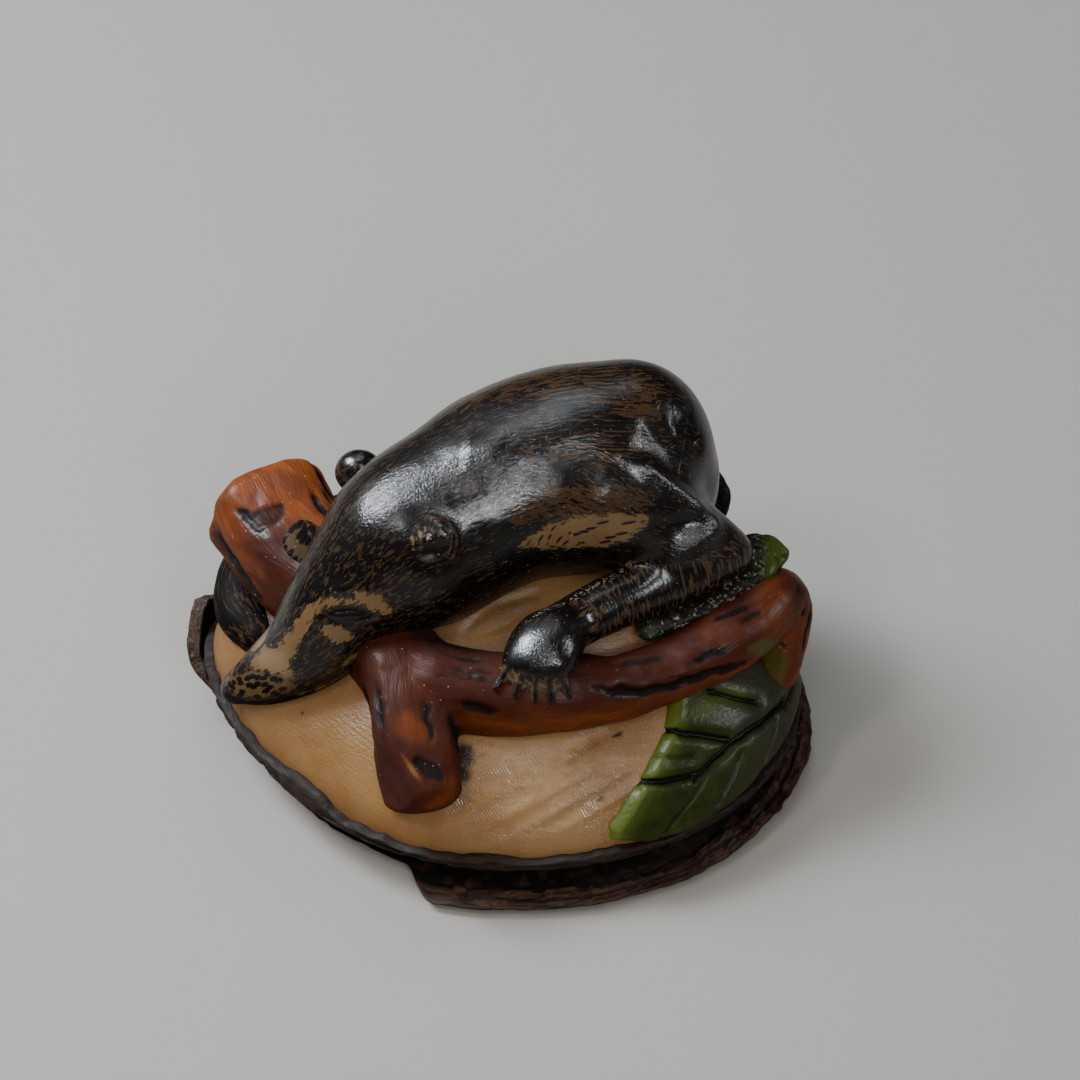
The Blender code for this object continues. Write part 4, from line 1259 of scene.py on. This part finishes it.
# Creases and dents in the coat: width, depth, then points along each; a negative depth is a ridge.
COAT_CUTS = (
    (
        1.9, 0.40, (10.6, 3.4, 37.0), (11.6, 2.8, 35.8), (12.9, 1.8, 33.9), (14.4, 1.3, 32.0),
        (16.2, 2.2, 30.0), (17.8, 4.4, 26.6), (18.6, 6.0, 23.0),
    ),
    (0.55, 0.30, (11.2, 3.0, 35.8), (12.1, 2.4, 34.7), (12.9, 1.9, 33.4)),
    (0.75, 0.45, (14.3, 4.3, 35.0), (15.3, 4.2, 33.6), (16.2, 4.1, 32.3)),
    (0.6, -0.14, (13.4, 3.8, 35.0), (14.2, 3.4, 33.8)),
    (1.9, -0.40, (-5.4, -0.6, 35.6), (-3.6, -0.9, 35.8), (-1.4, -1.4, 35.6)),
    (0.9, 0.22, (-6.8, -4.2, 33.4), (-4.8, -3.9, 33.8), (-2.9, -3.3, 34.1)),
    (1.0, -0.75, (9.6, -0.4, 35.0), (12.6, -0.9, 33.0), (15.4, -1.1, 30.6), (17.6, -1.2, 28.0)),
    (1.1, 0.22, (-4.6, -6.8, 31.6), (-2.6, -6.4, 30.0), (-1.6, -6.6, 28.0)),
    (1.3, -0.6, (12.4, -4.3, 24.8), (14.5, -3.4, 26.1), (16.2, -2.8, 26.9), (18.0, -1.8, 27.4)),
    (1.0, 0.35, (10.6, -3.2, 29.4), (13.4, -2.7, 29.0), (16.2, -2.0, 28.4)),
)
# The same on the face, set on both its sides: nostril, mouth and brow.
FACE_CUTS = (
    (0.35, 0.30, (-26.9, -6.2, 11.6), (-26.3, -6.6, 11.9)),
    (0.22, 0.22, (-26.6, -5.6, 9.6), (-23.7, -7.5, 11.0), (-20.1, -8.8, 13.4), (-16.4, -8.6, 15.2)),
    (0.80, -0.25, (-17.5, -8.0, 25.4), (-15.0, -8.4, 26.0), (-12.4, -8.4, 26.0)),
)
# Painted strokes, each a line of x, y, z and the stroke's radius there. Those of the face are set
# on both its sides. First the paint left off:
FACE_CREAM = (
    (
        (-24.3, -7.0, 15.9, 0.5), (-23.2, -7.7, 17.2, 1.1), (-21.8, -8.4, 17.5, 1.25),
        (-21.0, -8.8, 16.6, 0.7),
    ),
    (
        (-21.2, -8.6, 18.8, 0.9), (-20.0, -8.4, 21.2, 0.62), (-19.0, -8.1, 23.1, 0.55),
        (-17.7, -8.2, 24.3, 0.42), (-15.7, -8.6, 24.9, 0.34), (-14.6, -8.8, 24.8, 0.15),
    ),
    ((-14.3, -8.7, 25.6, 0.6), (-13.1, -8.8, 25.1, 0.95), (-12.0, -9.0, 24.1, 0.45)),
    ((-17.4, -9.1, 21.8, 0.55), (-16.6, -9.2, 21.5, 0.95), (-15.8, -9.2, 21.3, 0.6)),
    ((-15.8, -8.8, 17.6, 0.3), (-14.2, -9.4, 18.6, 0.6), (-13.2, -9.6, 19.2, 0.3)),
    (
        (-20.4, -8.6, 13.6, 0.12), (-17.6, -8.5, 14.6, 0.16), (-14.6, -8.6, 16.4, 0.14),
        (-12.6, -9.2, 18.6, 0.1),
    ),
)
FLANK_CREAM = (
    (0.4, -5.2, 28.5, 0.4), (2.2, -4.8, 28.7, 1.2), (4.4, -4.3, 28.9, 1.8), (7.2, -4.1, 29.3, 2.0),
    (9.4, -3.9, 29.6, 1.5), (10.8, -3.6, 29.9, 0.8),
)
# Lighter fur, and the brown of the back:
SNOUT = (
    (-27.2, -5.4, 12.0, 1.2),
    (-25.6, -6.9, 12.9, 1.4),
    (-23.4, -8.4, 14.6, 1.6),
    (-22.0, -9.0, 15.4, 1.3),
)
CHEEK = ((-23.4, -7.6, 17.0, 0.9), (-21.9, -8.4, 17.3, 1.2))
CHIN = ((-26.4, -5.6, 10.0, 0.9), (-23.0, -7.6, 11.6, 0.9), (-19.0, -8.6, 14.6, 0.8))
FRINGE = (
    (0.2, -4.2, 31.4, 1.0),
    (3.6, -3.6, 31.9, 1.4),
    (7.2, -3.6, 32.6, 1.3),
    (11.0, -2.9, 31.8, 0.8),
)
TOES = ((-1.7, -15.0, 20.8, 1.5), (1.5, -15.9, 20.2, 1.7), (4.5, -15.6, 20.0, 1.4))
WRIST = ((3.8, -9.8, 22.4, 2.2), (2.2, -12.2, 23.2, 2.5), (1.4, -13.8, 22.4, 2.1))
BACK_BROWN = (
    ((-6.0, 6.0, 35.4, 1.5), (0.0, 8.0, 37.0, 3.0), (5.0, 8.0, 37.6, 3.5), (10.0, 5.6, 36.6, 3.2)),
    ((3.0, -0.6, 35.6, 0.8), (7.0, -0.8, 35.6, 1.3), (10.4, 0.6, 35.4, 1.4)),
)
# Varnish that dried rough, varnish that is thin, and where crumbs gather:
ROUGH = (
    (
        (-13.0, -4.6, 32.0, 1.6), (-10.8, -2.6, 33.8, 2.2), (-7.0, -3.4, 34.0, 2.0),
        (-2.4, -1.6, 35.4, 2.0),
    ),
    ((11.6, -0.6, 34.2, 0.6), (16.8, -1.3, 29.2, 0.8)),
    ((14.1, -4.1, 26.1, 1.0), (17.4, -1.8, 28.0, 1.2)),
    ((3.4, -10.8, 24.0, 1.2), (1.6, -14.5, 23.2, 1.4)),
)
THIN = (
    ((3.6, -1.4, 35.6, 1.2), (6.4, -2.0, 35.0, 1.5), (8.2, -2.6, 33.6, 1.5)),
    ((10.8, 2.6, 36.0, 1.3), (12.4, 1.8, 34.4, 1.3), (13.6, 1.8, 33.2, 0.9)),
    ((13.6, 4.2, 35.6, 1.6), (15.8, 4.2, 33.0, 1.6)),
    ((4.4, -13.0, 23.2, 0.8), (5.0, -11.4, 23.2, 0.8)),
)
THROAT = ((-27.0, -2.0, 15.0, 2.0), (-21.0, -3.0, 21.6, 4.2), (-14.0, -5.0, 27.0, 6.0))
CRUMB_LINES = (
    (
        (15.0, -1.4, 25.6, 0.1), (9.1, -4.2, 24.6, 0.25), (5.0, -6.9, 24.0, 0.25),
        (1.6, -10.0, 24.6, 0.15), (-0.6, -12.0, 23.0, 0.1),
    ),
    ((-9.6, -7.0, 32.0, 0.2), (-9.0, -6.6, 32.4, 0.3)),
)


def on_plate(points, plate):
    """Offsets along and up a small plate given by its middle and two directions."""
    middle, along, up = (np.array(row, float) for row in plate)
    away = points - middle
    return away @ unit(along), away @ unit(up)


def face_side(points):
    """Points of the head moved to its near side, so that what is set there is set on both sides."""
    run = course(BODY, HEAD_UP)
    along, side, _, _, nearest = chart(points, run)
    flipped = points + run["side"][nearest] * (np.abs(side) - side)[:, None]
    return np.where((along < HEAD_LONG)[:, None], flipped, points)


def eye_parts(near):
    """Depth inside the eye, an oval with pointed ends, and how near the eye each point lies."""
    along, up = on_plate(near, EYE)
    lid = 0.68 * (1 - (along / 2.4) ** 2) - np.abs(up + 0.08 * along - 0.1)
    return lid, smooth(4.0, 2.5, to_spot(near, EYE[0]))


def ear_parts(points):
    """Offsets along and up the near ear, its ring, which is 1 on the rim, and how near the ear
    each point lies."""
    along, up = on_plate(points, EAR)
    ring = np.hypot(along / 2.1, up / 1.9)
    return along, up, ring, smooth(5.0, 3.5, to_spot(points, EAR[0]))


def fuse_coati():
    """Body, legs, tail, paws, ears and claws as one skin, the joins of the torso eased."""
    grids = [
        tube(BODY, BODY_UP, steps=10, sides=96),
        *(tube(form) for form in (THIGH, SHANK, FAR_LEG, FORELEG, TAIL)),
        tube(PAW, blunt=0.6),
        ball((9.9, 7.6, 28.6), (8.1, 8.4, 9.4), sides=72),
        ball(FAR_PAW, (2.1, 2.6, 0.8), (20, 0, 0)),
        ball((-8.1, -6.2, 29.8), (2.4, 1.5, 2.3), (35, 0, 20)),
        ball((-14.8, 7.2, 26.9), (2.3, 2.0, 2.2)),
    ]
    for root, tip in CLAWS:
        root, tip = np.array(root) + (0, 0.7, -0.5), np.array(tip) + (0, 0.1, -0.1)
        grids.append(tube(((*root, 0.62, 0.62), (*tip, 0.36, 0.36)), steps=4, sides=24))
    piece = fused("coati", grids, voxel=0.27, ease=3)
    points = points_of(piece)
    torso = smooth(-14, -8, points[:, 0]) * smooth(22, 26, points[:, 2])
    from_ears = np.minimum(*(to_spot(points, ear) for ear in EARS))
    relax(piece, torso * smooth(2.5, 4.5, from_ears) * 0.95 + 0.03, 110)
    return piece


def coat_relief(points, near, eye, ear):
    """How far each point is raised or cut in: the eye in its lids, the cupped ear, creases, a row
    of short hairs over the flank, and the features of the face."""
    lid, by_eye = eye
    ear_x, _, ring, by_ear = ear
    lids = 0.26 * smooth(-0.05, 0.6, lid) - 0.12 * peak(0, 0.16, lid) + 0.08 * peak(-0.5, 0.35, lid)
    cup = 0.16 * peak(1.0, 0.3, ring) * (0.5 + 0.5 * smooth(-1, 1, ear_x))
    cup = cup - 0.6 * smooth(1.0, 0.2, ring) + 0.12 * peak(-0.3, 0.4, ear_x) * smooth(0.8, 0.3, ring)
    lift = by_eye * lids + by_ear * cup
    for width, depth, *line in COAT_CUTS:
        lift += gouge(points, line, width, depth)
    for x in -1.0 + 0.62 * np.arange(11):
        lift += gouge(points, ((x, -2.9, 34.0), (x + 0.25, -2.3, 34.6)), 0.16, 0.07)
    for width, depth, *line in FACE_CUTS:
        lift += gouge(near, line, width, depth)
    return lift + (0.05 * grain(points, 3.0, 40) + 0.015 * grain(points, 1.0, 41))


def make_coati():
    """The animal: fused, its features cut and raised, then its paint, fur and varnish marked."""
    piece = fuse_coati()
    points = points_of(piece)
    near = face_side(points)
    eye, ear = eye_parts(near), ear_parts(points)
    push(piece, coat_relief(points, near, eye, ear))
    points = points_of(piece)
    near = face_side(points)
    mark_flow(piece, [
        course(FUR_BACK, BODY_UP), course(THIGH), course(SHANK, twist=0.01), course(FAR_LEG),
        course(FORELEG, twist=0.01), course(TAIL), course(PAW, shy=-0.25),
    ])
    (lid, by_eye), (ear_x, ear_y, ring, by_ear), (x, y, z) = eye, ear, points.T
    # The regions that the marks are made of.
    snout = painted(-0.6, 0.6, near, SNOUT)
    toes = painted(-0.35, 0.35, points, TOES)
    paw_ring = np.linalg.norm((points - FAR_PAW) @ np.diag((0.5, 0.38, 0.4)), axis=1)
    paw_ring = paw_ring + 0.12 * grain(points, 0.6, 43)
    far_paw = smooth(1.5, 1.3, paw_ring)
    fringe = painted(-0.8, 0.6, points, FRINGE)
    side = smooth(2, -3, y) * smooth(33.5, 30.5, z)
    crown = smooth(27, 21, chart(points, course(BODY, HEAD_UP))[0])
    shank = (chart(points, course(SHANK))[3] < 1.25) & (z < 26.2)
    tail = np.where(chart(points, course(TAIL))[3] < 1.3, smooth(26, 23, z), 0)
    tail = tail * (to_spot(points, (13, 15, 26)) > 6)
    muzzle = smooth(17.5, 13.5, z) * smooth(-14, -18, x) * smooth(-4, -5, y)
    under = smooth(0.5, -1.5, brush(near, THROAT))
    bars = 0.3 * np.cos(9 * (ear_x + 0.15)) * smooth(-1.0, -0.2, ear_y) * smooth(0.7, 0.1, ear_x) - 0.1
    away = lay(points, CLAW_WAY)
    claws = [to_line(away, lay(np.array(row, float), CLAW_WAY))[0] for row in CLAWS]
    claws = np.max([0.24 - claw for claw in claws], axis=0)
    claws = claws - 2 * smooth(3.5, 4.5, to_spot(points, CLAW_TIPS))
    # Shade of the fur, from open brown to solid black.
    shade = 0.85 + 0.07 * side - 0.25 * painted(-1.0, 1.2, points, *BACK_BROWN) - 0.17 * crown
    shade = np.where(shank, 0.72, shade) - 0.45 * fringe * (1 - shank)
    shade = shade + (0.35 - shade) * np.maximum.reduce([snout, toes, far_paw])
    shade = shade + 0.14 * smooth(-20, -22, x) * smooth(-0.5, 1.0, y)
    shade = shade + (0.98 - shade) * painted(-0.4, 0.5, points, WRIST)
    mark(piece, "shade", np.maximum(shade, 0.95 * painted(-0.5, 0.5, near, CHIN)))
    mark(piece, "coarse", np.maximum(crown, 0.6 * shank))
    mark(piece, "specks", np.maximum.reduce([snout, far_paw, 0.6 * toes]))
    warmth = 0.35 + 0.65 * smooth(30, 36, z) + 0.5 * fringe
    mark(piece, "warmth", np.clip(warmth * (1 - 0.6 * crown), 0, 1))
    pale = np.maximum.reduce([0.9 * snout, toes, 0.4 * far_paw, 0.3 * shank])
    mark(piece, "pale", np.clip(pale, 0, 1))
    # Cream, the ear's pale arcs, and what is painted black.
    cream = np.maximum(brush(near, *FACE_CREAM), brush(points, FLANK_CREAM))
    mark(piece, "cream", np.maximum(cream, np.where((ring < 0.85) & (by_ear > 0.9), bars, -9)))
    mark(piece, "light", painted(-0.6, 0.6, near, CHEEK))
    mark(piece, "dashes", painted(0.1, 0.5, points, FLANK_CREAM))
    arcs = ring + 3 * smooth(1.0, -0.6, ear_x + 0.5 * ear_y) + 3 * (1 - by_ear)
    mark(piece, "ring", np.minimum(arcs, 4))
    mark(piece, "black", np.maximum.reduce([
        smooth(-0.08, 0.05, claws),
        by_eye * smooth(-0.12, 0.05, lid) * (1 - far_paw),
        far_paw * smooth(1.08, 1.2, paw_ring),
        0.9 * by_ear * smooth(0.95, 0.75, ring) * smooth(-0.02, -0.08, bars),
    ]))
    # Varnish and dust.
    by_lobe = 0.8 * by_ear * smooth(-0.3, -1.2, ear_y) * smooth(2.0, 1.4, ring)
    thin = np.maximum(0.75 * painted(-1.0, 1.0, points, *THIN), by_lobe)
    mark(piece, "matte", np.maximum.reduce([tail, far_paw, muzzle * under, thin]))
    mark(piece, "grit", painted(-1.0, 1.0, points, *ROUGH))
    nape = smooth(-8, -2, x) * smooth(6, 0, x) * smooth(29, 26, z)
    mark(piece, "dust", 0.45 + 0.55 * np.maximum(smooth(1.6, 1.0, ring), nape))
    mark(piece, "crumbs", 0.8 * painted(-0.35, 0.2, points, *CRUMB_LINES))
    return piece


# ---------------------------------------------------------------- scene

AIM = (0.0, 0.0, 0.02)
# Lights, in metres: place, two sides, power, colour, and what they give: all, shade alone (no
# highlight of their own) or shine alone (a highlight and no shade).
LIGHTS = {
    "window": ((-0.33, 0.10, 0.44), (0.26, 0.26), 2.7, (0.95, 0.98, 1.0), "all"),
    "skylight": ((0.02, 0.28, 0.5), (0.2, 0.2), 0.6, (0.86, 0.93, 1.0), "all"),
    "key": ((-0.21, -0.2, 0.42), (0.07, 0.07), 0.5, (1.0, 0.97, 0.93), "all"),
    "front": ((0.10, -0.46, 0.30), (0.09, 0.09), 0.4, (1.0, 0.96, 0.9), "all"),
    "fill": ((0.0, -0.45, 0.45), (0.5, 0.4), 1.1, (1.0, 0.96, 0.9), "shade"),
    "window_shine": ((-0.33, 0.10, 0.44), (0.16, 0.13), 21.0, (0.84, 0.91, 1.0), "shine"),
    "above_shine": ((-0.05, 0.10, 0.5), (0.10, 0.08), 0.3, (0.93, 0.97, 1.0), "shine"),
    "front_shine": ((0.08, -0.26, 0.42), (0.07, 0.05), 0.7, (0.9, 0.95, 1.0), "shine"),
    "right_shine": ((0.42, 0.0, 0.25), (0.08, 0.08), 1.6, (0.9, 0.95, 1.0), "shine"),
    "knee_shine": ((0.22, -0.42, 0.32), (0.07, 0.07), 1.5, (0.95, 0.98, 1.0), "shine"),
}
# The camera: what it looks at, how far off it stands, how steeply it looks down, and how much it
# sees there from side to side.
TARGET, VIEW_AWAY, VIEW_DOWN, VIEW_WIDE = (1.83, 0, 24.8), 520, 40, 98.6
SENSOR = 36


def face_to(thing, way):
    """Turns a lamp or a camera to look a way."""
    thing.rotation_euler = way.to_track_quat("-Z", "Y").to_euler()


def set_lights():
    """The lights of the table, and a faint pale glow from all round."""
    for name, (place, size, power, tint, gives) in LIGHTS.items():
        light = bpy.data.lights.new(name, "AREA")
        light.shape, light.size, light.size_y = "RECTANGLE", size[0], size[1]
        light.energy, light.color = power, tint
        lamp = stand(name, light)
        lamp.location = place
        face_to(lamp, Vector(AIM) - Vector(place))
        lamp.visible_glossy, lamp.visible_diffuse = gives != "shade", gives != "shine"
    world = bpy.data.worlds.new("studio")
    world.use_nodes = True
    background = world.node_tree.nodes["Background"]
    background.inputs["Color"].default_value = (0.9, 0.92, 0.95, 1)
    background.inputs["Strength"].default_value = 0.05
    bpy.context.scene.world = world


def set_camera():
    """Camera in front of the object, looking down at it."""
    camera = bpy.data.cameras.new("camera")
    camera.sensor_width, camera.lens = SENSOR, SENSOR * VIEW_AWAY / VIEW_WIDE
    camera.clip_start = 0.01
    eye = stand("camera", camera)
    down = math.radians(VIEW_DOWN)
    look = Vector((0, math.cos(down), -math.sin(down)))
    eye.location = Vector(TARGET) * MM - look * (VIEW_AWAY * MM)
    face_to(eye, look)
    bpy.context.scene.camera = eye


def make_floor():
    """Pale plate that the object stands on."""
    corners = np.array([[(-900.0, -900, 0), (-900, 1400, 0)], [(900, -900, 0), (900, 1400, 0)]])
    floor = put("floor", [slab(corners, corners - (0, 0, 5))])
    floor.data.materials.append(floor_finish())
    return floor


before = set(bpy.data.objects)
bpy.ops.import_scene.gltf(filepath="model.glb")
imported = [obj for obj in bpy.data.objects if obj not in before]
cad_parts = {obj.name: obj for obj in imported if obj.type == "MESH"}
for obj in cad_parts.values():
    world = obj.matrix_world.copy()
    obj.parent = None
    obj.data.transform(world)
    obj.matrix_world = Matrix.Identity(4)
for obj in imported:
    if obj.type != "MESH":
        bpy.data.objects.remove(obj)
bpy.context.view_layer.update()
leaf_green, shell_brown = leaf_finish(), husk_finish()
carved = (
    (make_ground(), ivory_finish()),
    (make_seed_skin(), shell_brown),
    (make_front_leaf(), leaf_green),
    (make_side_leaf(), leaf_green),
    (make_back_leaf(), leaf_green),
    (make_branch(), wood_finish()),
    (make_coati(), coat_finish()),
)
husk = make_shell()
husk.data.materials.append(shell_brown)
for piece, finish in carved:
    piece.data.materials.append(finish)
    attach(piece, "root")
    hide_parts("carved_nut")
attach(husk, "root")
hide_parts("shell_dish")
floor = make_floor()
set_lights()
set_camera()
